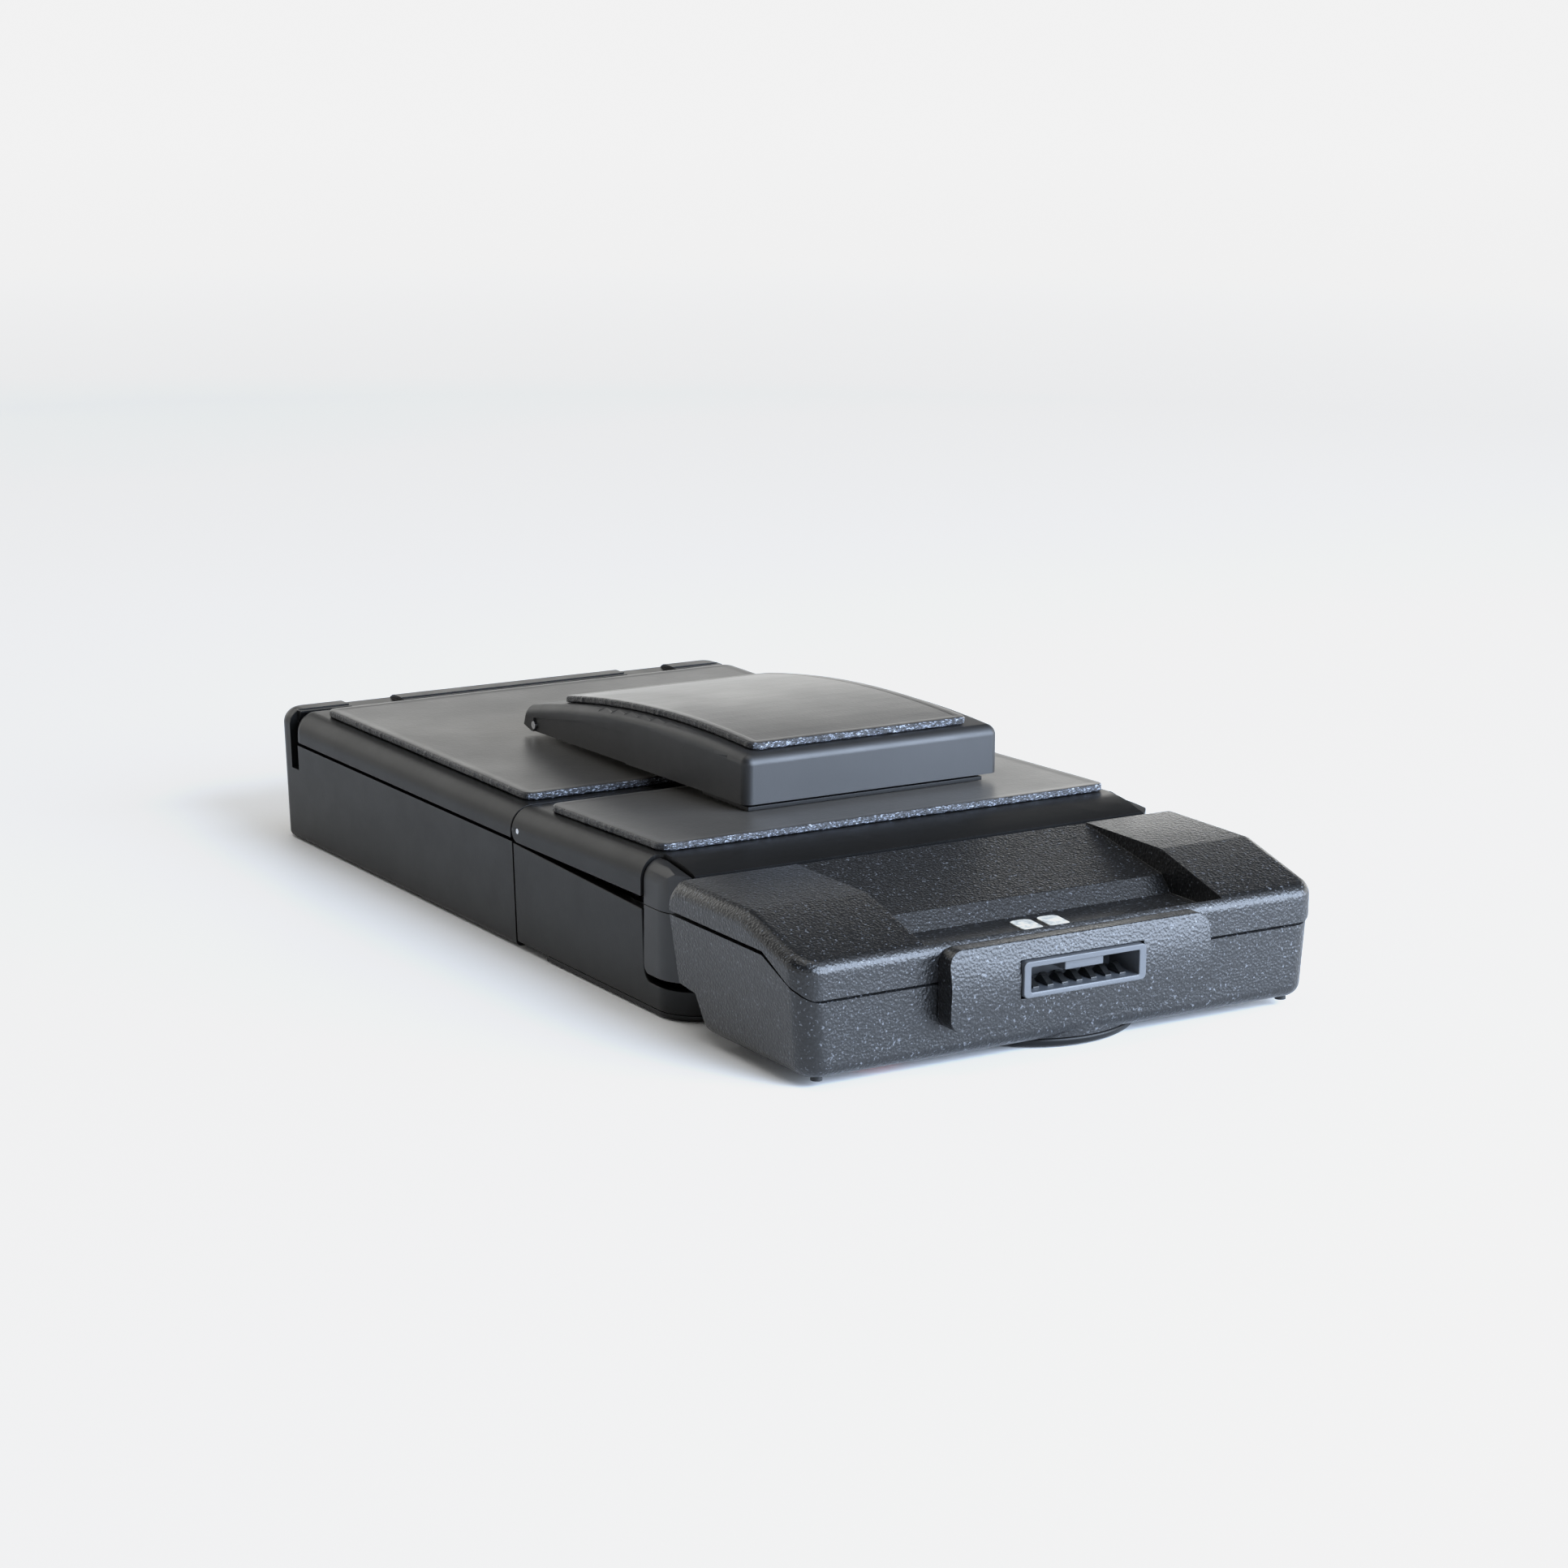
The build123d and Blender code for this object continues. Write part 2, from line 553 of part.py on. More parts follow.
# =====================================================================
# VIEWFINDER CAP
# =====================================================================
crown_start = (finder_front_y, 39.6)
crown_middle = (12.0, 39.3)
crown_end = (51.2, 33.7)

with BuildPart() as viewfinder_cap:
    with BuildSketch(Plane.YZ.offset(finder_x)):
        with BuildLine():
            Polyline(
                crown_start, (finder_front_y, finder_bottom_front), (10, finder_bottom_front - 0.9),
                (49.5, finder_bottom_rear), (finder_rear_y, 29.6), crown_end
            )
            ThreePointArc(crown_end, crown_middle, crown_start)
        make_face()
    extrude(amount=(finder_right - finder_left) / 2, both=True)
    outer = viewfinder_cap.edges().filter_by(lambda e: e.center().Y < 40)
    posts = outer.filter_by(Axis.Z).filter_by(lambda e: e.length > 8)
    fillet(posts, 1.8)
    top_face = viewfinder_cap.faces().filter_by(lambda f: f.center().Z > 36).sort_by(Axis.Z)[-1]
    fillet(top_face.edges().filter_by(lambda e: e.center().Y < 50), 2.0)
    # hollow inside
    cavity = side_profile(
        (-31.2, 20), (-31.2, 38.0), (-6, 38.0), (20, 36.8),
        (38, 34.2), (49.6, 31.8), (50.6, 29.6), (50.6, 20)
    )
    with BuildSketch(Plane.YZ.offset(finder_x)):
        add(cavity)
    extrude(amount=(finder_right - finder_left) / 2 - wall, both=True, mode=Mode.SUBTRACT)
    # shallow side panels and the pin holes
    for edge_x, side in ((finder_left, -1), (finder_right, 1)):
        panel = side_profile((11.3, 29.0), (11.3, 35.6), (30, 34.4), (48.6, 31.6), (48.6, 27), (11.3, 27))
        with BuildSketch(Plane.YZ.offset(edge_x)):
            add(panel)
        extrude(amount=0.4 * -side, mode=Mode.SUBTRACT)
        pin_along_x(edge_x - 2.5, edge_x + 2.5, finder_pin[0], finder_pin[1], 0.8, Mode.SUBTRACT)
viewfinder_cap.part.label = "viewfinder_cap"
export_step(viewfinder_cap.part, "parts/viewfinder_cap.step")

with BuildPart() as viewfinder_leather:
    # a band that follows the crown, one leather thickness high
    with BuildSketch(Plane.YZ.offset(finder_x)):
        with BuildLine():
            lower = ThreePointArc(
                (crown_start[0], crown_start[1] + 0.04), (crown_middle[0], crown_middle[1] + 0.04),
                (crown_end[0], crown_end[1] + 0.04)
            )
            upper = ThreePointArc(
                (crown_start[0], crown_start[1] + leather), (crown_middle[0], crown_middle[1] + leather),
                (crown_end[0], crown_end[1] + leather)
            )
            Line(lower @ 0, upper @ 0)
            Line(lower @ 1, upper @ 1)
        make_face()
    extrude(amount=40, both=True)
    with BuildSketch(Plane.XY.offset(25)):
        add(rounded_plan(finder_left + 3, finder_right - 5.2, -30.4, 42.0, 2, 2))
    extrude(amount=25, mode=Mode.INTERSECT)
viewfinder_leather.part.label = "viewfinder_leather"
export_step(viewfinder_leather.part, "parts/viewfinder_leather.step")

with BuildPart() as eyepiece_frame:
    box_between(finder_left + 2.1, finder_right - 2.1, 46.3, 49.5, 29.0, 31.1)
    box_between(finder_x - 6, finder_x + 6, 46, 51, 29.5, 30.7, Mode.SUBTRACT)
    for edge_x in (finder_left, finder_right):
        pin_along_x(edge_x - 5, edge_x + 5, finder_pin[0], finder_pin[1], 0.8, Mode.SUBTRACT)
eyepiece_frame.part.label = "eyepiece_frame"
export_step(eyepiece_frame.part, "parts/eyepiece_frame.step")

with BuildPart() as viewfinder_pins:
    for edge_x, side in ((finder_left, -1), (finder_right, 1)):
        ends = sorted((edge_x + side * 0.05, edge_x - side * 4.5))
        pin_along_x(ends[0], ends[1], finder_pin[0], finder_pin[1], 0.78)
viewfinder_pins.part.label = "viewfinder_pins"
export_step(viewfinder_pins.part, "parts/viewfinder_pins.step")

with BuildPart() as finder_mirror:
    tilt = side_profile((34, 30.2), (35, 29.6), (42, 32.2), (41, 32.9))
    with BuildSketch(Plane.YZ.offset(finder_x)):
        add(tilt)
    extrude(amount=13, both=True)
finder_mirror.part.label = "finder_mirror"
export_step(finder_mirror.part, "parts/finder_mirror.step")

# =====================================================================
# SHUTTER HOUSING
# =====================================================================
housing_seam_z = 21.0
housing_front_seam_z = 15.1
seam_gap = 0.7
peg_x = 48.6
peg_y = -100.6

with BuildPart() as housing_lower_shell:
    with BuildSketch(Plane.XY.offset(housing_floor_z)):
        add(rounded_plan(-52.3, 52.3, housing_front_y + 0.3, housing_rear_y, 0, 4.2))
    with BuildSketch(Plane.XY.offset(22.5)):
        add(rounded_plan(-housing_half, housing_half, housing_front_y, housing_rear_y, 0, 4.6))
    loft()
    outline = side_profile(
        (housing_rear_y, housing_seam_z), (-62.6, 9.0), (-68.0, 8.4), (-71.6, housing_floor_z),
        (-106, housing_floor_z), (-106, housing_front_seam_z), (-103.8, housing_front_seam_z),
        (-101.5, 16.6), (-91.5, housing_seam_z)
    )
    with BuildSketch(Plane.YZ):
        add(outline)
    extrude(amount=60, both=True, mode=Mode.INTERSECT)
    foot_edges = housing_lower_shell.edges().group_by(Axis.Z)[0]
    fillet(foot_edges.filter_by(lambda e: e.center().Y < -72), 2.6)
    # round boss over the lens ring
    with Locations((lens_x, lens_y, housing_floor_z)):
        Cylinder(19.6, 4, align=(Align.CENTER, Align.CENTER, Align.MIN))
    # inside
    box_between(-50, 50, -101.8, -73.5, 4.6, 30, Mode.SUBTRACT)
    box_between(-50, 50, -74, -64.6, 10.6, 30, Mode.SUBTRACT)
    box_between(-48, 48, -66, -60, 19.0, 30, Mode.SUBTRACT)
    # openings in the floor and in the front wall
    with Locations((lens_x, lens_y, 2)):
        Cylinder(17.2, 20, mode=Mode.SUBTRACT)
    for side in (-1, 1):
        with Locations((side * peg_x, peg_y, 3)):
            Cylinder(1.04, 6, mode=Mode.SUBTRACT)
    with Locations((-34, -94, 0)):
        Cylinder(5.6, 20, mode=Mode.SUBTRACT)
    with Locations((-34, -80, 0)):
        Cylinder(5.0, 20, mode=Mode.SUBTRACT)
    with Locations((38, -82, 0)):
        Cylinder(9.4, 20, mode=Mode.SUBTRACT)
    with Locations((39, -96.6, 0)):
        Cylinder(3.6, 20, mode=Mode.SUBTRACT)
    box_between(-13.5, 13.5, -110, -98.5, 10.9, 18.9, Mode.SUBTRACT)
housing_lower_shell.part.label = "housing_lower_shell"
export_step(housing_lower_shell.part, "parts/housing_lower_shell.step")

recess_left = -29.0
recess_right = 33.0
recess_floor_z = 19.6
recess_front_y = -102.9
rim_z = 21.9  # height of the front rim
top_round = 2.6
with BuildPart() as housing_upper_shell:
    with BuildSketch(Plane.XY.offset(14)):
        add(rounded_plan(-housing_half, housing_half, housing_front_y, housing_rear_y, 0, 4.6))
    extrude(amount=14)
    crown = side_profile(
        (housing_rear_y, housing_seam_z + seam_gap), (-91.8, housing_seam_z + seam_gap),
        (-101.9, 17.0), (-103.7, housing_front_seam_z + 0.45), (-106, housing_front_seam_z + 0.45),
        (-106, rim_z - 0.6), (-85, housing_top_z), (-62.2, housing_top_z), (housing_rear_y, 25.9)
    )
    with BuildSketch(Plane.YZ) as side_view:
        add(crown)
        fillet(side_view.vertices().filter_by(lambda v: v.Z > 26.5 and v.Y < -80), 3)
    extrude(amount=60, both=True, mode=Mode.INTERSECT)
    # soft rounding along the sides and the front rim
    upper = housing_upper_shell.edges().filter_by(lambda e: e.center().Z > rim_z - 0.15)
    outline = upper.filter_by(lambda e: e.center().Y < -61.1)
    fillet(outline.filter_by(lambda e: abs(e.center().X) > 50 or e.center().Y < -100), top_round)
    # thumb recess: sloped ramp, steep step and flat smooth floor behind the front rim
    recess = side_profile(
        (-60.6, 27.1), (-85.4, 22.5), (-88.2, recess_floor_z), (recess_front_y, recess_floor_z),
        (recess_front_y, 30), (-60.6, 30)
    )
    with BuildSketch(Plane.YZ.offset((recess_left + recess_right) / 2)):
        add(recess)
    extrude(amount=(recess_right - recess_left) / 2, both=True, mode=Mode.SUBTRACT)
    # inside
    for x0, x1 in ((-50.5, recess_left - 2), (recess_right + 2, 50.5)):
        box_between(x0, x1, -100.5, -64, 10, 20.8, Mode.SUBTRACT)
        box_between(x0, x1, -92, -64, 10, 23.4, Mode.SUBTRACT)
        box_between(x0, x1, -84, -64, 10, 25.2, Mode.SUBTRACT)
    box_between(-50.5, 50.5, -101.6, -84, 10, 17.0, Mode.SUBTRACT)
    # tray that closes the recess below the seam
    tray_bottom_z = recess_floor_z - 1.6
    box_between(recess_left - 1.6, recess_right + 1.6, -103.2, -85.6, tray_bottom_z, recess_floor_z)
    for x0, x1 in ((recess_left - 1.6, recess_left), (recess_right, recess_right + 1.6)):
        box_between(x0, x1, -101.2, -70, tray_bottom_z, 22.3)
    ramp = side_profile(
        (-63, 24.4), (-85.4, 22.5), (-88.2, recess_floor_z), (-88.2, recess_floor_z - 1.0),
        (-85.6, recess_floor_z - 1.0), (-83.6, 20.6), (-63, 23.0)
    )
    with BuildSketch(Plane.YZ.offset((recess_left + recess_right) / 2)):
        add(ramp)
    extrude(amount=(recess_right - recess_left) / 2 + 1.6, both=True)
    box_between(-13.5, 13.5, -110, -98.5, 10.9, 18.9, Mode.SUBTRACT)
housing_upper_shell.part.label = "housing_upper_shell"
export_step(housing_upper_shell.part, "parts/housing_upper_shell.step")

badge_left = -4.4
badge_width = 4.2
badge_rear_y = -90.6
badge_front_y = -96.8
with BuildPart() as recess_badge:
    for left in (badge_left, badge_left + badge_width + 1.4):
        right = left + badge_width
        with BuildSketch(Plane.XY.offset(recess_floor_z + 0.02)) as bar:
            with BuildLine():
                Polyline(
                    (left, badge_front_y), (right, badge_front_y),
                    (right + 0.8, badge_rear_y), (left + 0.8, badge_rear_y), close=True
                )
            make_face()
            fillet(bar.vertices(), 1.2)
        extrude(amount=0.2)
recess_badge.part.label = "recess_badge"
export_step(recess_badge.part, "parts/recess_badge.step")

# neck: the wrapped piece between the base's front corners and the housing
neck_half = 51.6
neck_rear_y = -47.9
neck_seam_z = 19.4
neck_wall = 2.2


def neck_ring(z0, z1):
    """The neck's side walls and front wall between two heights."""
    inner_plan = rounded_plan(-neck_half + neck_wall, neck_half - neck_wall, -59.0, 0, 0, 6)
    with BuildSketch(Plane.XY.offset(z0)) as ring:
        add(rounded_plan(-neck_half, neck_half, -60.6, neck_rear_y, 0, 8))
        add(inner_plan, mode=Mode.SUBTRACT)
    extrude(ring.sketch, amount=z1 - z0)


with BuildPart() as neck_lower:
    neck_ring(7.1, neck_seam_z)
    box_between(-60, 60, -62, -58.6, 0, 9.4, Mode.SUBTRACT)
    bottom_rear = neck_lower.edges().filter_by(Axis.X).group_by(Axis.Z)[0].group_by(Axis.Y)[-1]
    fillet(bottom_rear, 1.8)
neck_lower.part.label = "neck_lower"
export_step(neck_lower.part, "parts/neck_lower.step")

with BuildPart() as neck_upper:
    with BuildSketch(Plane.XY.offset(neck_seam_z + 0.12)):
        add(rounded_plan(-neck_half, neck_half, -60.6, neck_rear_y, 0, 8))
    extrude(amount=12)
    # the shoulders are round like the covers, and their tops fall towards the housing
    with BuildSketch(Plane.XZ.offset(62)) as front_view:
        with Locations((0, 18.75)):
            Rectangle(2 * neck_half, 17.5)
        fillet(front_view.vertices().group_by(Axis.Z)[-1], 3.6)
    extrude(amount=-16, mode=Mode.INTERSECT)
    tops = side_profile((-40, 10), (-40, 27.6), (-50, 27.6), (-66, 25.2), (-66, 10))
    with BuildSketch(Plane.YZ):
        add(tops)
    extrude(amount=60, both=True, mode=Mode.INTERSECT)
    # hollow below, and the gap for the front cover's tongue
    box_between(1.0 - tongue_half, tongue_half - 1.0, -59.0, -40, 15, 30, Mode.SUBTRACT)
    box_between(neck_wall - neck_half, neck_half - neck_wall, -58.0, -40, 15, 23.7, Mode.SUBTRACT)
    box_between(-tongue_half - 0.45, tongue_half + 0.45, -70, -40, 23.6, 30, Mode.SUBTRACT)
neck_upper.part.label = "neck_upper"
export_step(neck_upper.part, "parts/neck_upper.step")

with BuildPart() as housing_arms:
    for side in (-1, 1):
        arm = side_profile((-58.8, 20.4), (-58.8, 23.0), (-50, 23.0), (-36, 20.8), (-36, 17.2), (-50, 19.6))
        with BuildSketch(Plane.YZ.offset(side * 46.2)):
            add(arm)
            with Locations(arm_pivot):
                Circle(2.6)
                Circle(1.1, mode=Mode.SUBTRACT)
        extrude(amount=0.7, both=True)
housing_arms.part.label = "housing_arms"
export_step(housing_arms.part, "parts/housing_arms.step")

# flash socket on the front
surround_left = -26.9
surround_right = 27.0
with BuildPart() as socket_surround:
    with BuildSketch(Plane.XZ.offset(-housing_front_y + 0.04)):
        with Locations(((surround_left + surround_right) / 2, 14.4)):
            Rectangle(surround_right - surround_left, 14.2)
    extrude(amount=5)
    posts = socket_surround.edges().filter_by(Axis.Y)
    fillet(posts, 2.8)
    face_line = side_profile(
        (-103, 7), (-107.9, 7), (-108.3, 15.2), (-107.2, 21.2), (-106.6, 22), (-103, 22)
    )
    with BuildSketch(Plane.YZ):
        add(face_line)
    extrude(amount=40, both=True, mode=Mode.INTERSECT)
    box_between(-12.8, 12.8, -112, -100, 11.6, 18.2, Mode.SUBTRACT)
socket_surround.part.label = "socket_surround"
export_step(socket_surround.part, "parts/socket_surround.step")

with BuildPart() as socket_bezel:
    box_between(-12.7, 12.7, -108.8, -99.0, 11.7, 18.1)
    fillet(socket_bezel.edges().filter_by(Axis.Y), 1.0)
    box_between(-11.2, 11.2, -110, -100.0, 12.7, 17.1, Mode.SUBTRACT)
    box_between(-3.8, 4.2, -108.0, -100.5, 15.4, 17.3)
socket_bezel.part.label = "socket_bezel"
export_step(socket_bezel.part, "parts/socket_bezel.step")

with BuildPart() as socket_contacts:
    for finger in range(7):
        x = -9.0 + finger * 3.0
        spring = side_profile(
            (-100.2, 12.75), (-107.0, 12.75), (-107.0, 13.0), (-105.0, 14.2),
            (-104.2, 14.2), (-103.0, 13.1), (-100.2, 13.1)
        )
        with BuildSketch(Plane.YZ.offset(x)):
            add(spring)
        extrude(amount=0.6, both=True)
socket_contacts.part.label = "socket_contacts"
export_step(socket_contacts.part, "parts/socket_contacts.step")

ring_height = housing_floor_z - 0.1
with BuildPart() as lens_ring:
    with BuildSketch(Plane.XY):
        with Locations((lens_x, lens_y)):
            Circle(19.6)
            Circle(13.6, mode=Mode.SUBTRACT)
    extrude(amount=ring_height)
    with BuildSketch(Plane.XY.offset(ring_height)):
        with Locations((lens_x, lens_y)):
            Circle(17.1)
            Circle(15.6, mode=Mode.SUBTRACT)
    extrude(amount=4.4)
    chamfer(lens_ring.edges().group_by(Axis.Z)[0], 0.6)
lens_ring.part.label = "lens_ring"
export_step(lens_ring.part, "parts/lens_ring.step")

with BuildPart() as lens_barrel:
    with BuildSketch(Plane.XY.offset(1.2)):
        with Locations((lens_x, lens_y)):
            Circle(13.5)
            Circle(10.6, mode=Mode.SUBTRACT)
    extrude(amount=11.0)
    with BuildSketch(Plane.XY.offset(3.8)):
        with Locations((lens_x, lens_y)):
            Circle(11)
            Circle(8.2, mode=Mode.SUBTRACT)
    extrude(amount=1.0)
lens_barrel.part.label = "lens_barrel"
export_step(lens_barrel.part, "parts/lens_barrel.step")

with BuildPart() as front_lens:
    with BuildSketch(Plane.XZ.offset(-lens_y)):
        with BuildLine():
            Polyline((lens_x, 3.7), (lens_x, 1.7))
            ThreePointArc((lens_x, 1.7), (lens_x + 5.4, 2.1), (lens_x + 10.5, 3.1))
            Polyline((lens_x + 10.5, 3.1), (lens_x + 10.5, 3.7), (lens_x, 3.7))
        make_face()
    revolve(axis=Axis((lens_x, lens_y, 0), (0, 0, 1)))
front_lens.part.label = "front_lens"
export_step(front_lens.part, "parts/front_lens.step")

with BuildPart() as rear_lens:
    with Locations((lens_x, lens_y, 10.4)):
        Cylinder(10.5, 2.4)
rear_lens.part.label = "rear_lens"
export_step(rear_lens.part, "parts/rear_lens.step")

with BuildPart() as shutter_blades:
    for index in range(2):
        z = 6.4 + index * 0.8
        with BuildSketch(Plane.XY.offset(z)):
            with Locations((lens_x, lens_y)):
                Circle(10.3)
            with Locations((lens_x + (5 if index else -5), lens_y)):
                Rectangle(4.2, 4.2, rotation=45, mode=Mode.SUBTRACT)
        extrude(amount=0.4)
shutter_blades.part.label = "shutter_blades"
export_step(shutter_blades.part, "parts/shutter_blades.step")

with BuildPart() as shutter_plate:
    box_between(-48, 48, -99.5, -75.0, 12.3, 13.5)
    with Locations((lens_x, lens_y, 13)):
        Cylinder(10.6, 5, mode=Mode.SUBTRACT)
    box_between(-14, 14, -100, -98, 12, 14, Mode.SUBTRACT)
shutter_plate.part.label = "shutter_plate"
export_step(shutter_plate.part, "parts/shutter_plate.step")

with BuildPart() as photocell_window:
    with Locations((-34, -80, 2.9)):
        Cylinder(4.95, 2.0, align=(Align.CENTER, Align.CENTER, Align.MIN))
photocell_window.part.label = "photocell_window"
export_step(photocell_window.part, "parts/photocell_window.step")

with BuildPart() as shutter_button:
    with Locations((-34, -94, 2.3)):
        Cylinder(5.45, 3.6, align=(Align.CENTER, Align.CENTER, Align.MIN))
    fillet(shutter_button.edges().group_by(Axis.Z)[0], 0.6)
    with Locations((-34, -94, 4.9)):
        Cylinder(6.3, 0.9, align=(Align.CENTER, Align.CENTER, Align.MIN))
shutter_button.part.label = "shutter_button"
export_step(shutter_button.part, "parts/shutter_button.step")

with BuildPart() as button_spring:
    with BuildLine():
        Helix(pitch=1.5, height=5.2, radius=3.2, center=(-34, -94, 6.4))
    with BuildSketch(Plane(origin=(-30.8, -94, 6.4), x_dir=(1, 0, 0), z_dir=(0, 1, 0))):
        Circle(0.35)
    sweep(is_frenet=True)
button_spring.part.label = "button_spring"
export_step(button_spring.part, "parts/button_spring.step")

with BuildPart() as focus_wheel:
    with Locations((38, -82, 1.5)):
        Cylinder(9.2, 4.6, align=(Align.CENTER, Align.CENTER, Align.MIN))
    for notch in range(24):
        with Locations(Location((38, -82, 0), (0, 0, notch * 15)) * Location((9.35, 0, 3))):
            Box(0.6, 1.0, 8, mode=Mode.SUBTRACT)
    with Locations((38, -82, 1.5)):
        Cylinder(1.05, 12, mode=Mode.SUBTRACT)
focus_wheel.part.label = "focus_wheel"
export_step(focus_wheel.part, "parts/focus_wheel.step")

with BuildPart() as focus_axle:
    with Locations((38, -82, 1.8)):
        Cylinder(1.0, 10.45, align=(Align.CENTER, Align.CENTER, Align.MIN))
    with Locations((38, -82, 6.4)):
        Cylinder(3.0, 5.8, align=(Align.CENTER, Align.CENTER, Align.MIN))
focus_axle.part.label = "focus_axle"
export_step(focus_axle.part, "parts/focus_axle.step")

with BuildPart() as exposure_dial:
    with Locations((39, -96.6, 1.9)):
        Cylinder(3.5, 3.6, align=(Align.CENTER, Align.CENTER, Align.MIN))
    box_between(38.6, 39.4, -100, -93, 1.8, 2.3, Mode.SUBTRACT)
exposure_dial.part.label = "exposure_dial"
export_step(exposure_dial.part, "parts/exposure_dial.step")

with BuildPart() as housing_peg:
    for side in (-1, 1):
        with Locations((side * peg_x, peg_y, 1.0)):
            Cylinder(1.0, 4.1, align=(Align.CENTER, Align.CENTER, Align.MIN))
housing_peg.part.label = "housing_peg"
export_step(housing_peg.part, "parts/housing_peg.step")
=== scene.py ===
import math

import bmesh
import bpy
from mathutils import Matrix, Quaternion, Vector, noise
from mathutils.bvhtree import BVHTree


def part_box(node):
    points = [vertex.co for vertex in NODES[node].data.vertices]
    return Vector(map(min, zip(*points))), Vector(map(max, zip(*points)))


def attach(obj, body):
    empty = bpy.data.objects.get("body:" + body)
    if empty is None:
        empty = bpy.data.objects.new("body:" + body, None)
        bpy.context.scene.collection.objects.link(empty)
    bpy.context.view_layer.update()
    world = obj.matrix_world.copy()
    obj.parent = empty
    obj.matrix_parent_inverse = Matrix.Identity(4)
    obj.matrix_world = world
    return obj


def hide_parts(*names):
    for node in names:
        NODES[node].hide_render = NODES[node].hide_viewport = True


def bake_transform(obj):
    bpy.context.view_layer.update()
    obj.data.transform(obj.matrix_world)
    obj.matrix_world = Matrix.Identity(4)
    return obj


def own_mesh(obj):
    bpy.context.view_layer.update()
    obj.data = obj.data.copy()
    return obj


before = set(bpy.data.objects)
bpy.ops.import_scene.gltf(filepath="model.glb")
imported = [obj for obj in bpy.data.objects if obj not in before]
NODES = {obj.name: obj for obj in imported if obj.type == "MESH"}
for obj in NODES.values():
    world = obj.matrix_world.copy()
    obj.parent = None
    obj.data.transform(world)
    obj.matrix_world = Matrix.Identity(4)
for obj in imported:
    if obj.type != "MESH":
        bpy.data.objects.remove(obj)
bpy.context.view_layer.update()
MM = 0.001


# ---------------------------------------------------------------- material helpers
def start_material(name, colour, roughness, metallic=0.0):
    """A Principled material of one colour, returned with its node tree and its shader."""
    material = bpy.data.materials.new(name)
    material.use_nodes = True
    tree = material.node_tree
    shader = tree.nodes["Principled BSDF"]
    assign(shader, {"Base Color": (*colour, 1.0), "Roughness": roughness, "Metallic": metallic})
    return material, tree, shader


def assign(shader, values):
    """Sets the sockets that are the same all over the surface."""
    for socket, value in values.items():
        shader.inputs[socket].default_value = value


def object_place(tree):
    """Object coordinates, which stay on the piece as it moves."""
    return tree.nodes.new("ShaderNodeTexCoord").outputs["Object"]


def noise_field(tree, size, detail=3.0, rough=0.55, stretch=None):
    """Noise whose features are about the given size in millimetres."""
    field = tree.nodes.new("ShaderNodeTexNoise")
    field.inputs["Scale"].default_value = 1.0 / (size * MM)
    field.inputs["Detail"].default_value = detail
    field.inputs["Roughness"].default_value = rough
    source = object_place(tree)
    if stretch:
        mapping = tree.nodes.new("ShaderNodeMapping")
        mapping.inputs["Scale"].default_value = stretch
        tree.links.new(source, mapping.inputs["Vector"])
        source = mapping.outputs["Vector"]
    tree.links.new(source, field.inputs["Vector"])
    return field.outputs["Fac"]


def cell_field(tree, size, smooth=0.6):
    """Smoothed Voronoi cells of about the given size in millimetres."""
    field = tree.nodes.new("ShaderNodeTexVoronoi")
    field.feature = "SMOOTH_F1"
    field.inputs["Scale"].default_value = 1.0 / (size * MM)
    field.inputs["Smoothness"].default_value = smooth
    tree.links.new(object_place(tree), field.inputs["Vector"])
    return field.outputs["Distance"]


def ramp(tree, value, stops):
    """A colour ramp through (position, colour) stops."""
    node = tree.nodes.new("ShaderNodeValToRGB")
    elements = node.color_ramp.elements
    while len(elements) < len(stops):
        elements.new(0.5)
    for element, (position, colour) in zip(elements, stops):
        element.position = position
        element.color = (*colour, 1.0)
    tree.links.new(value, node.inputs["Fac"])
    return node.outputs["Color"]


def vector_math(tree, operation, first, second):
    """The vector result of an operation on an output and an output or a fixed vector."""
    node = tree.nodes.new("ShaderNodeVectorMath")
    node.operation = operation
    tree.links.new(first, node.inputs[0])
    if isinstance(second, tuple):
        node.inputs[1].default_value = second
    else:
        tree.links.new(second, node.inputs[1])
    return node.outputs["Vector"]


def paint(tree, shader, value, stops):
    """Colours the surface by a ramp over a field."""
    tree.links.new(ramp(tree, value, stops), shader.inputs["Base Color"])


def polish(tree, shader, value, low, high):
    """Varies the roughness over a field, from low to high."""
    node = tree.nodes.new("ShaderNodeMapRange")
    node.inputs["To Min"].default_value = low
    node.inputs["To Max"].default_value = high
    tree.links.new(value, node.inputs["Value"])
    tree.links.new(node.outputs["Result"], shader.inputs["Roughness"])


def bump(tree, shader, *layers):
    """Chains bump layers of (height, depth in millimetres, strength) onto the shader's normal."""
    normal = None
    for height, depth, strength in layers:
        node = tree.nodes.new("ShaderNodeBump")
        node.inputs["Distance"].default_value = depth * MM
        node.inputs["Strength"].default_value = strength
        tree.links.new(height, node.inputs["Height"])
        if normal:
            tree.links.new(normal, node.inputs["Normal"])
        normal = node.outputs["Normal"]
    tree.links.new(normal, shader.inputs["Normal"])


def shades(colour, dark, light):
    """The same colour darker and lighter."""
    return tuple(c * dark for c in colour), tuple(c * light for c in colour)


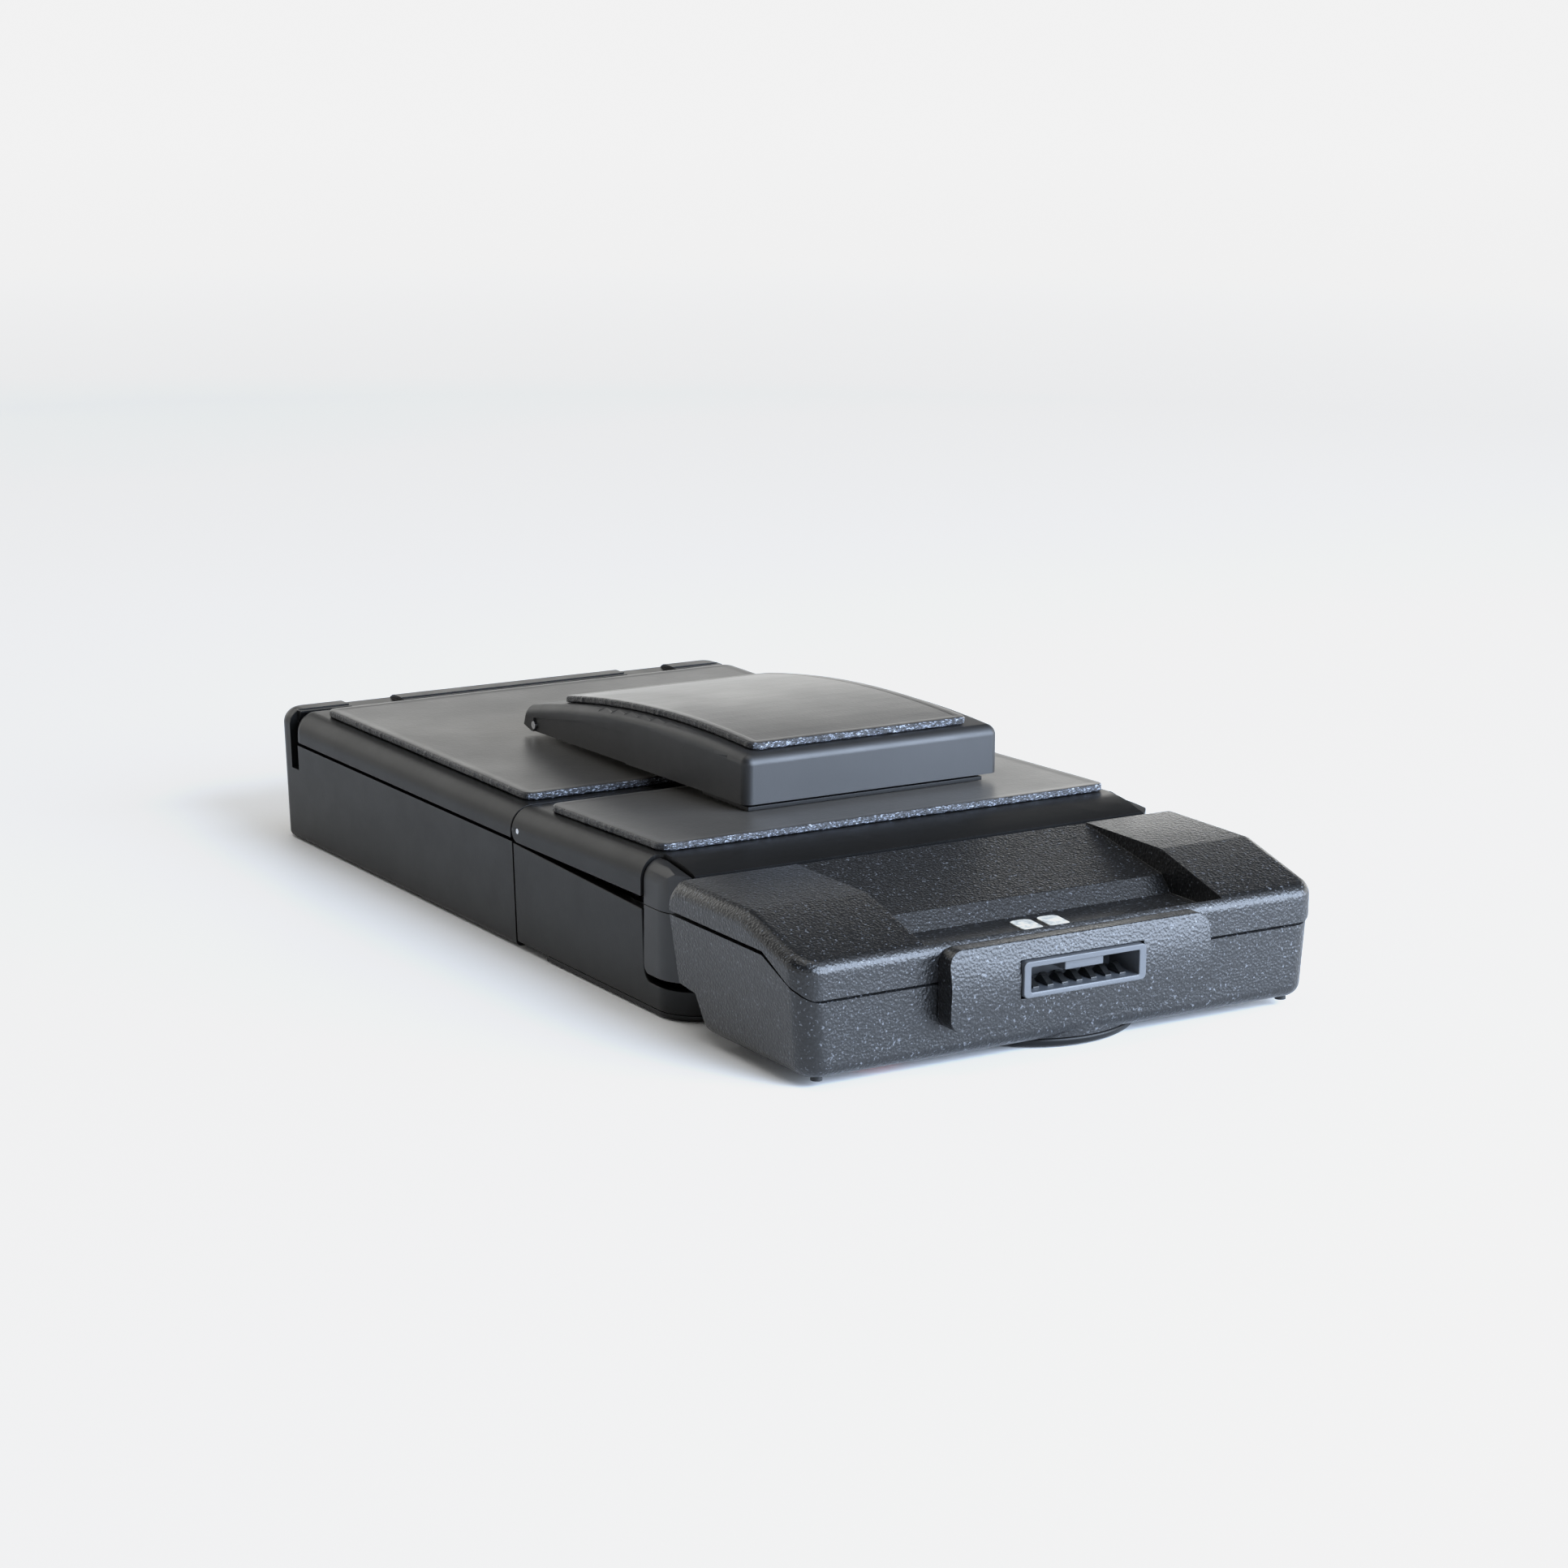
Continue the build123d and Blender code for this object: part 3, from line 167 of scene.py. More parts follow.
# ---------------------------------------------------------------- materials
def satin_plastic(name, colour, roughness, specular=0.32):
    """Smooth moulded plastic with faint flow marks, fine dust, scuffs and handling polish."""
    material, tree, shader = start_material(name, colour, roughness)
    flow = noise_field(tree, 30, 2.0)
    dark, light = shades(colour, 0.85, 1.2)
    paint(tree, shader, flow, [(0.3, dark), (0.7, light)])
    handling = noise_field(tree, 9, 5.0, 0.65)
    polish(tree, shader, handling, roughness - 0.09, roughness + 0.1)
    dust = noise_field(tree, 0.35, 2.0)
    scuffs = noise_field(tree, 4, 6.0, 0.7, (1.0, 0.12, 1.0))
    bump(tree, shader, (dust, 0.02, 0.35), (scuffs, 0.03, 0.12))
    assign(shader, {"Specular IOR Level": specular})
    return material


def grained_plastic(name, colour, roughness):
    """Spark-eroded mould texture: fine pits with small crests, and painted glints: sparse pale
    specks painted into the colour as highlights.
    """
    material, tree, shader = start_material(name, colour, roughness)
    pits = cell_field(tree, 0.5)
    fine = noise_field(tree, 0.24, 2.0, 0.6)
    glints = noise_field(tree, 0.55, 1.0, 0.5)
    broad = noise_field(tree, 20, 3.0)
    dark, light = shades(colour, 0.6, 1.6)
    stipple = ramp(tree, pits, [(0.15, light), (0.55, colour), (0.9, dark)])
    # painted glints: sparse pale bluish specks added to the base colour as highlights
    sparkle = ramp(tree, glints, [(0.64, (0, 0, 0)), (0.76, (0.085, 0.09, 0.1))])
    stipple_and_painted_glints = vector_math(tree, "ADD", stipple, sparkle)
    tree.links.new(stipple_and_painted_glints, shader.inputs["Base Color"])
    polish(tree, shader, broad, roughness - 0.05, roughness + 0.07)
    bump(tree, shader, (pits, 0.1, 0.75), (fine, 0.06, 0.6))
    assign(shader, {"Specular IOR Level": 0.42, "Sheen Weight": 0.02, "Sheen Roughness": 0.3})
    return material


def panel_leather(name, colour):
    """Thin leather, polished by handling, brighter and warmer at grazing angles."""
    material, tree, shader = start_material(name, colour, 0.42)
    broad = noise_field(tree, 35, 3.0)
    dark, light = shades(colour, 0.75, 1.5)
    paint(tree, shader, broad, [(0.3, dark), (0.72, light)])
    worn = noise_field(tree, 20, 4.0, 0.6)
    polish(tree, shader, worn, 0.3, 0.46)
    pores = cell_field(tree, 0.6, 0.4)
    creases = noise_field(tree, 2.2, 5.0, 0.6)
    bump(tree, shader, (creases, 0.1, 0.22), (pores, 0.04, 0.35))
    assign(shader, {
        "Specular IOR Level": 0.5, "Specular Tint": (1.0, 0.96, 0.9, 1.0),
        "Sheen Weight": 0.05, "Sheen Roughness": 0.4, "Sheen Tint": (1.0, 0.93, 0.84, 1.0),
    })
    return material


def cut_edge(name, frayed):
    """The leather's cut edge: black glue and fibre, and pale bluish flecks above the frayed level,
    partly frayed threads and partly painted highlights of the light from the front.
    """
    material, tree, shader = start_material(name, (0.012, 0.012, 0.013), 0.3)
    fibres = noise_field(tree, 0.6, 5.0, 0.72, (1.0, 1.0, 2.4))
    # the pale fray colour is partly real fibre and partly painted highlight, tinted like the bluish
    # front light
    glue, thread_and_glint, fray = (0.008, 0.008, 0.009), (0.045, 0.05, 0.062), (0.42, 0.46, 0.54)
    paint(tree, shader, fibres, [(frayed, glue), (frayed + 0.09, thread_and_glint), (frayed + 0.17, fray)])
    polish(tree, shader, fibres, 0.15, 0.45)
    bump(tree, shader, (fibres, 0.3, 0.8))
    return material


def brushed_metal(name, colour, roughness, along=(1.0, 18.0, 18.0)):
    """Drawn or turned metal, with fine lines along the axis of the least scale."""
    material, tree, shader = start_material(name, colour, roughness, 1.0)
    lines = noise_field(tree, 4, 4.0, 0.6, along)
    dark, light = shades(colour, 0.8, 1.1)
    paint(tree, shader, lines, [(0.3, dark), (0.7, light)])
    polish(tree, shader, lines, roughness - 0.08, roughness + 0.12)
    bump(tree, shader, (lines, 0.01, 0.4))
    return material


def glass(name, tint, coat=0.0):
    """Clear glass or window plastic with a faint coating and a little dust."""
    material, tree, shader = start_material(name, tint, 0.04)
    assign(shader, {"Transmission Weight": 0.85, "IOR": 1.5, "Coat Weight": coat})
    dust = noise_field(tree, 3, 5.0, 0.7)
    polish(tree, shader, dust, 0.02, 0.12)
    return material


def mirror_face(name, colour):
    """Front-silvered mirror with slight haze."""
    material, tree, shader = start_material(name, colour, 0.03, 1.0)
    haze = noise_field(tree, 12, 4.0)
    polish(tree, shader, haze, 0.01, 0.08)
    return material


def printed_mark(name, colour):
    """Worn ivory print."""
    material, tree, shader = start_material(name, colour, 0.45)
    wear = noise_field(tree, 1.6, 5.0, 0.7)
    paint(tree, shader, wear, [(0.36, (0.3, 0.31, 0.3)), (0.56, (0.62, 0.6, 0.54))])
    bump(tree, shader, (wear, 0.02, 0.3))
    return material


def circuit_board(name, colour):
    """Solder mask with raised tracks under it."""
    material, tree, shader = start_material(name, colour, 0.35)
    tracks = noise_field(tree, 3, 1.0, 0.3, (1.0, 4.0, 1.0))
    paint(tree, shader, tracks, [(0.46, (0.015, 0.1, 0.05)), (0.5, (0.03, 0.2, 0.1))])
    bump(tree, shader, (tracks, 0.03, 0.5))
    return material


def bellows_cloth(name, colour):
    """Rubberised cloth."""
    material, tree, shader = start_material(name, colour, 0.75)
    weave = noise_field(tree, 0.7, 3.0, 0.6)
    paint(tree, shader, weave, [(0.35, (0.008, 0.008, 0.008)), (0.7, (0.03, 0.03, 0.031))])
    bump(tree, shader, (weave, 0.08, 0.7))
    assign(shader, {"Sheen Weight": 0.1})
    return material


BODY = satin_plastic("body plastic", (0.0052, 0.0051, 0.005), 0.36, 0.19)
CAP = satin_plastic("viewfinder plastic", (0.006, 0.006, 0.0064), 0.48, 0.52)
INNER = satin_plastic("inner plastic", (0.009, 0.009, 0.009), 0.6)
GRAIN = grained_plastic("grained plastic", (0.0052, 0.0052, 0.0054), 0.3)
BEZEL = satin_plastic("bezel plastic", (0.05, 0.054, 0.06), 0.42, 0.55)
CONTACT = brushed_metal("contact metal", (0.11, 0.11, 0.11), 0.35)
LEATHER = panel_leather("panel leather", (0.013, 0.012, 0.011))
# the same cut edge twice: the front-facing copy with more pale flecks as painted highlight, the
# other darker as painted shade
FRAYED_EDGE_PAINTED_LIT = cut_edge("frayed leather edge painted lit", 0.47)
GLUED_EDGE_PAINTED_SHADE = cut_edge("glued leather edge painted shade", 0.56)
STEEL = brushed_metal("steel", (0.62, 0.63, 0.65), 0.28)
BRASS = brushed_metal("brass", (0.72, 0.52, 0.25), 0.3, (12.0, 12.0, 1.0))
MIRROR = mirror_face("mirror face", (0.86, 0.88, 0.9))
LENS = glass("coated lens", (0.55, 0.6, 0.75), 0.6)
WINDOW = glass("window", (0.35, 0.36, 0.38))
RED = satin_plastic("red button", (0.42, 0.025, 0.02), 0.25)
MARK = printed_mark("printed mark", (0.6, 0.58, 0.52))
BOARD = circuit_board("circuit board", (0.02, 0.12, 0.06))
FILM = satin_plastic("film sheet", (0.6, 0.6, 0.57), 0.5)
CLOTH = bellows_cloth("bellows cloth", (0.012, 0.012, 0.012))

NODE_MATERIALS = {
    "rear_hinge_brackets": INNER, "rear_hinge_pins": STEEL, "chassis_frame": INNER,
    "tripod_socket": BRASS, "base_screws": STEEL, "counter_window": WINDOW, "counter_wheel": FILM,
    "counter_axle": INNER, "film_pack_case": INNER, "film_stack": FILM, "pack_spring": STEEL,
    "pack_battery": FILM, "main_board": BOARD, "drive_motor": STEEL, "gearbox": INNER,
    "bellows": CLOTH, "fresnel_carrier": INNER, "fresnel_mirror": MIRROR, "taking_mirror": MIRROR,
    "mirror_clips": STEEL, "apex_pins": STEEL, "neck_hinge_strip": CLOTH, "finder_base": BODY,
    "eyepiece_frame": BODY, "viewfinder_pins": STEEL, "finder_mirror": MIRROR,
    "recess_badge": MARK, "housing_arms": STEEL, "socket_contacts": CONTACT, "lens_barrel": INNER,
    "front_lens": LENS, "rear_lens": LENS, "shutter_blades": INNER, "shutter_plate": INNER,
    "photocell_window": WINDOW, "button_spring": STEEL, "focus_axle": STEEL, "housing_peg": INNER,
    "shutter_button": RED, "focus_wheel": INNER, "exposure_dial": INNER, "lower_roller": STEEL,
    "upper_roller": STEEL, "lens_ring": BODY, "door_latch": BODY, "rear_body_shell": BODY,
    "front_body_shell": BODY, "film_door": BODY, "rear_cover": BODY, "front_cover": BODY,
    "viewfinder_cap": CAP, "neck_lower": CAP, "neck_upper": CAP, "housing_lower_shell": GRAIN,
    "housing_upper_shell": GRAIN, "socket_surround": GRAIN, "socket_bezel": BEZEL,
    "rear_cover_leather": LEATHER, "front_cover_leather": LEATHER, "viewfinder_leather": LEATHER,
}
for node_name, node_material in NODE_MATERIALS.items():
    node_slots = NODES[node_name].data.materials
    node_slots.clear()
    node_slots.append(node_material)


# ---------------------------------------------------------------- mesh helpers
def link_piece(name, mesh, *materials):
    """A new object in the scene with this mesh and these material slots."""
    piece = bpy.data.objects.new(name, mesh)
    bpy.context.scene.collection.objects.link(piece)
    for material in materials:
        mesh.materials.append(material)
    return piece


def built_mesh(name, builder):
    """The finished mesh of a bmesh, which is freed."""
    mesh = bpy.data.meshes.new(name)
    builder.to_mesh(mesh)
    builder.free()
    return mesh


def shade_smooth(piece, smooth):
    faces = piece.data.polygons
    faces.foreach_set("use_smooth", [smooth] * len(faces))


def take_place(piece, body, node):
    """Smooth shading, the body that the piece rides on, and the CAD node that it replaces."""
    shade_smooth(piece, True)
    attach(piece, body)
    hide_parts(node)


def apply_modifier(piece, modifier):
    with bpy.context.temp_override(object=piece, active_object=piece, selected_objects=[piece]):
        bpy.ops.object.modifier_apply(modifier=modifier.name)


# ---------------------------------------------------------------- leather panels
SHEET_THICKNESS = 1.36 * MM
SHEET_SPACING = 0.36 * MM  # between the points of the sheet's grid and outline
SHEET_WELD = 0.01 * MM
CORNER_STEPS = 8
UNDERSIDE = 0.99  # the underside's depth, as a share of the thickness
FACES_FRONT = -0.6  # an edge that looks further to -Y than this, towards the light in front, takes the frayed edge painted lit, the others the glued edge painted in shade

# noise on the sheet: cells per metre, and how far it moves the leather in millimetres
WAVE_RATE, WAVE_RISE = 40, 0.06
FIBRE_RATE, FIBRE_REACH = 2600, 0.09
TUFT_RATE, TUFT_REACH, TUFT_GAPS = 900, 0.42, 0.1
RAG_RATE, RAG_RISE = 1500, 0.05
# the rolled lip's height, distance from the edge and width, in millimetres
LIP_RISE, LIP_INSET, LIP_WIDTH = 0.07, 1.1, 0.8

# the top outside its even grid, as distances from the edge
TOP_INSETS = (1.5 * MM, 1.0 * MM, 0.6 * MM, 0.32 * MM)
# the cut rim: millimetres from the edge, depth as a share of the thickness, and how frayed
RIM_STEPS = (
    (0.20, 0.08, 0.5), (0.12, 0.2, 1.0), (0.12, 0.36, 0.9), (0.14, 0.5, 0.8),
    (0.13, 0.64, 1.0), (0.16, 0.78, 0.9), (0.22, 0.9, 0.5), (0.4, UNDERSIDE, 0),
)


def top_along_y(node):
    """The height of a CAD node's top along Y; its section doesn't change along X."""
    low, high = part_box(node)
    mesh = NODES[node].data
    points = [vertex.co for vertex in mesh.vertices]
    tree = BVHTree.FromPolygons(points, [face.vertices for face in mesh.polygons])
    middle = (low.x + high.x) / 2
    margin = 0.1 * MM
    start = high.z + 10 * MM

    def top(y):
        y = min(max(y, low.y + margin), high.y - margin)
        return tree.ray_cast(Vector((middle, y, start)), Vector((0, 0, -1)))[0].z

    return top


def rounded_outline(low, high, corner, counts):
    """Plan points and outward directions round a rectangle with rounded corners."""
    points = []
    corners = (
        (high.x - corner, low.y + corner, -90, counts[1]),
        (high.x - corner, high.y - corner, 0, counts[0]),
        (low.x + corner, high.y - corner, 90, counts[1]),
        (low.x + corner, low.y + corner, 180, counts[0]),
    )
    for index, (cx, cy, first, count) in enumerate(corners):
        for step in range(CORNER_STEPS + 1):
            angle = math.radians(first + step * 90 / CORNER_STEPS)
            out = Vector((math.cos(angle), math.sin(angle)))
            points.append((Vector((cx, cy)) + out * corner, out))
        start, out = points[-1]
        following = corners[(index + 1) % len(corners)]
        end = Vector(following[:2]) + out * corner
        points += [(start.lerp(end, k / count), out) for k in range(1, count)]
    return points


def leather_panel(node, body, corner=2.6 * MM):
    """A leather sheet in its CAD solid's place: a soft top, a rolled lip and a frayed cut rim."""
    low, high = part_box(node)
    top = top_along_y(node)
    counts = [
        round((high[axis] - low[axis] - 2 * corner) / SHEET_SPACING) for axis in (0, 1)
    ]
    outline = rounded_outline(low, high, corner, counts)
    builder = bmesh.new()

    def surface(x, y):
        """The sheet's top, a little uneven as glued leather is."""
        wave = noise.noise(Vector((x * WAVE_RATE, y * WAVE_RATE, 1.7)))
        return top(y) + wave * WAVE_RISE * MM

    def point_at(x, y, depth):
        return builder.verts.new((x, y, surface(x, y) - depth * SHEET_THICKNESS))

    def ring_at(inset, depth, fray):
        """A ring of points inside the outline, pushed out and down by fibres and tufts."""
        ring = []
        for point, out in outline:
            spot = point - out * inset
            seed = Vector((spot.x, spot.y, depth * 0.6 * MM))
            fibre = noise.noise(seed * FIBRE_RATE) * FIBRE_REACH * MM
            tufts = noise.noise(seed * TUFT_RATE + Vector((5, 0, 0)))
            tuft = max(0.0, tufts - TUFT_GAPS) * TUFT_REACH * MM
            spot = spot + out * ((fibre + tuft) * fray)
            lip = LIP_RISE * MM * math.exp(-((inset - LIP_INSET * MM) / (LIP_WIDTH * MM)) ** 2)
            ragged = noise.noise(seed * RAG_RATE) * RAG_RISE * MM * fray
            height = surface(spot.x, spot.y) + lip + ragged - depth * SHEET_THICKNESS
            ring.append(builder.verts.new((spot.x, spot.y, height)))
        return ring

    def join(rings, is_edge):
        """Faces between each ring and the next."""
        for first, second in zip(rings, rings[1:]):
            for k in range(len(first)):
                after = (k + 1) % len(first)
                face = builder.faces.new((first[k], second[k], second[after], first[after]))
                if is_edge:
                    # edges facing the front light take the copy painted lit, the others the copy
                    # painted in shade
                    face.material_index = 1 if outline[k][1].y < FACES_FRONT else 2

    def stations(axis):
        """Even positions between the rounded corners, along one axis."""
        first, last = low[axis] + corner, high[axis] - corner
        return [first + (last - first) * k / counts[axis] for k in range(counts[axis] + 1)]

    def top_grid(xs, ys):
        """The even grid inside the rings."""
        grid = [[point_at(x, y, 0) for y in ys] for x in xs]
        for first, second in zip(grid, grid[1:]):
            for j in range(counts[1]):
                builder.faces.new((first[j], second[j], second[j + 1], first[j + 1]))

    def glued_side(xs, ys):
        """Long strips across the hidden underside."""
        left = [point_at(xs[0], y, UNDERSIDE) for y in ys]
        right = [point_at(xs[-1], y, UNDERSIDE) for y in ys]
        near = [point_at(x, ys[0], UNDERSIDE) for x in xs[1:-1]]
        far = [point_at(x, ys[-1], UNDERSIDE) for x in xs[1:-1]]
        strips = [
            (left[j], right[j], right[j + 1], left[j + 1]) for j in range(1, counts[1] - 1)
        ]
        strips.append((left[0], *near, right[0], right[1], left[1]))
        strips.append((left[-2], right[-2], right[-1], *reversed(far), left[-1]))
        for strip in strips:
            builder.faces.new(strip).material_index = 2

    sides = [ring_at(inset, 0, 0) for inset in (corner, corner * 0.8, *TOP_INSETS)]
    join(sides, False)
    rim = [sides[-1]]
    rim += [ring_at(inset * MM, depth, fray) for inset, depth, fray in RIM_STEPS]
    rim.append(ring_at(corner, UNDERSIDE, 0))
    join(rim, True)
    top_grid(stations(0), stations(1))
    glued_side(stations(0), stations(1))
    bmesh.ops.remove_doubles(builder, verts=builder.verts, dist=SHEET_WELD)
    bmesh.ops.recalc_face_normals(builder, faces=builder.faces)
    mesh = built_mesh(node + "_sheet", builder)
    piece = link_piece(node + "_sheet", mesh, LEATHER, FRAYED_EDGE_PAINTED_LIT, GLUED_EDGE_PAINTED_SHADE)
    take_place(piece, body, node)


leather_panel("rear_cover_leather", "rear_cover")
leather_panel("front_cover_leather", "front_cover")
leather_panel("viewfinder_leather", "viewfinder", 2.0 * MM)


# ---------------------------------------------------------------- outer shells
SHELL_WELD = 0.003 * MM
COPLANAR = math.radians(0.4)
BROKEN_EDGE = math.radians(35)  # an edge that turns more than this gets a radius
SHARP_EDGE = math.radians(50)  # an edge that turns more than this stays sharp in the shading
FLAT_FACE_WEIGHT = 100


def softened(node, body, slot, width):
    """The CAD shell with its sharp moulded edges broken by a small radius, in millimetres."""
    source = NODES[node]
    builder = bmesh.new()
    builder.from_mesh(source.data)
    bmesh.ops.remove_doubles(builder, verts=builder.verts, dist=SHELL_WELD)
    bmesh.ops.dissolve_limit(
        builder, angle_limit=COPLANAR, verts=builder.verts, edges=builder.edges,
        use_dissolve_boundaries=False,
    )
    mesh = built_mesh(node + "_shell", builder)
    piece = link_piece(node + "_shell", mesh, *source.data.materials)
    bevel = piece.modifiers.new("broken edges", "BEVEL")
    bevel.width = width * MM
    bevel.segments = 2
    bevel.limit_method = "ANGLE"
    bevel.angle_limit = BROKEN_EDGE
    bevel.use_clamp_overlap = True
    bevel.miter_outer = "MITER_ARC"
    apply_modifier(piece, bevel)
    take_place(piece, body, node)
    piece.data.set_sharp_from_angle(angle=SHARP_EDGE)
    flat = piece.modifiers.new("flat faces stay flat", "WEIGHTED_NORMAL")
    flat.weight = FLAT_FACE_WEIGHT
    flat.keep_sharp = True


# CAD node, the body it rides on, its slot and its edges' radius
SOFT_SHELLS = (
    ("rear_body_shell", "base", "body_plastic", 0.3),
    ("front_body_shell", "base", "body_plastic", 0.3),
    ("film_door", "film_door", "body_plastic", 0.15),
    ("rear_cover", "rear_cover", "body_plastic", 0.35),
    ("front_cover", "front_cover", "body_plastic", 0.35),
    ("viewfinder_cap", "viewfinder", "body_plastic", 0.4),
    ("finder_base", "front_cover", "body_plastic", 0.2),
    ("neck_lower", "shutter_housing", "body_plastic", 0.25),
    ("neck_upper", "shutter_housing", "body_plastic", 0.25),
    ("housing_lower_shell", "shutter_housing", "grained_plastic", 0.35),
    ("housing_upper_shell", "shutter_housing", "grained_plastic", 0.45),
    ("socket_surround", "shutter_housing", "grained_plastic", 0.5),
    ("socket_bezel", "shutter_housing", "bezel_plastic", 0.2),
    ("lens_ring", "shutter_housing", "body_plastic", 0.4),
)
for shell in SOFT_SHELLS:
    softened(*shell)


# ---------------------------------------------------------------- bellows and spring
PLEATS = 14
PLEAT_COLUMNS = 24
CLOTH_THICKNESS = 0.25 * MM


def bellows_wall(name, side, folds, near_y, far_y, heights, replaced=None):
    """Pleats stacked flat, as they lie at rest.

    In millimetres: folds are the outer and inner half widths, near_y the hinge end, far_y the
    other end of the lowest and of the highest pleat, and heights the stack's bottom and top.
    """
    outer, inner = folds
    low_z, high_z = heights
    builder = bmesh.new()
    rows = []
    for row in range(2 * PLEATS + 1):
        share = row / (2 * PLEATS)
        x = side * (outer if row % 2 else inner) * MM
        far = far_y[0] + (far_y[1] - far_y[0]) * share
        z = low_z + (high_z - low_z) * share
        rows.append([
            builder.verts.new((x, (near_y + (far - near_y) * column / PLEAT_COLUMNS) * MM, z * MM))
            for column in range(PLEAT_COLUMNS + 1)
        ])
    for first, second in zip(rows, rows[1:]):
        for column in range(PLEAT_COLUMNS):
            builder.faces.new(
                (first[column], first[column + 1], second[column + 1], second[column])
            )
    wall = link_piece(name, built_mesh(name, builder), CLOTH)
    thickness = wall.modifiers.new("cloth", "SOLIDIFY")
    thickness.thickness = CLOTH_THICKNESS
    thickness.offset = 0
    apply_modifier(wall, thickness)
    shade_smooth(wall, False)
    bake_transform(wall)
    if replaced:
        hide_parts(replaced)


for side, hand in ((-1, "left"), (1, "right")):
    bellows_wall(
        "rear_bellows_" + hand, side, folds=(44.4, 40.6), near_y=88.0,
        far_y=(4.0, 4.0), heights=(14.6, 24.0), replaced="bellows" if side < 0 else None,
    )
    bellows_wall(
        "front_bellows_" + hand, side, folds=(40.2, 36.8),
        near_y=-57.0, far_y=(-46.0, -6.0), heights=(19.4, 24.6),
    )


def pressed_spring(node):
    """The button's return spring, a copy of the CAD coil that rides on the shutter housing."""
    spring = link_piece(node + "_coil", NODES[node].data.copy())
    take_place(spring, "shutter_housing", node)
    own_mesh(spring)


pressed_spring("button_spring")


# ---------------------------------------------------------------- stage, light and camera
DARK = (0, 0, 0)
FULL = (1, 1, 1)
UPPER_ROOM = (0.03, 0.031, 0.033)
TABLE_REACH = 6.0
TABLE_DROP = 0.2 * MM  # keeps the table just clear of the object's underside


def build_stage():
    """A matt table with a painted glow: emission that brightens it away from the object into the
    lit backdrop.
    """
    material, tree, shader = start_material("studio floor", (0.86, 0.86, 0.86), 0.6)
    mottling = noise_field(tree, 250, 2.0)
    paint(tree, shader, mottling, [(0.3, (0.85, 0.85, 0.855)), (0.7, (0.875, 0.872, 0.868))])
    away = tree.nodes.new("ShaderNodeVectorMath")
    away.operation = "LENGTH"
    tree.links.new(object_place(tree), away.inputs[0])
    # painted glow: the table emits light, more with distance from the object
    glow = tree.nodes.new("ShaderNodeMapRange")
    glow.inputs["From Min"].default_value = 0.75
    glow.inputs["From Max"].default_value = 2.0
    glow.inputs["To Max"].default_value = 0.95
    tree.links.new(away.outputs["Value"], glow.inputs["Value"])
    tree.links.new(glow.outputs["Result"], shader.inputs["Emission Strength"])
    assign(shader, {"Emission Color": (1.0, 0.995, 0.985, 1.0)})
    mesh = bpy.data.meshes.new("floor")
    signs = ((-1, -1), (1, -1), (1, 1), (-1, 1))
    corners = [(x * TABLE_REACH, y * TABLE_REACH, 0) for x, y in signs]
    mesh.from_pydata(corners, [], [(0, 1, 2, 3)])
    floor = link_piece("floor", mesh, material)
    floor.location.z = -TABLE_DROP


def soft_box(name, position, aim, size, radiance, colour):
    """A rectangular soft light of the given radiance, which the camera doesn't see."""
    data = bpy.data.lights.new(name, "AREA")
    data.shape = "RECTANGLE"
    data.size, data.size_y = size
    data.energy = radiance * math.pi * size[0] * size[1]
    data.color = colour
    light = bpy.data.objects.new(name, data)
    bpy.context.scene.collection.objects.link(light)
    light.location = position
    light.rotation_euler = (Vector(aim) - Vector(position)).to_track_quat("-Z", "Z").to_euler()
    light.visible_camera = False


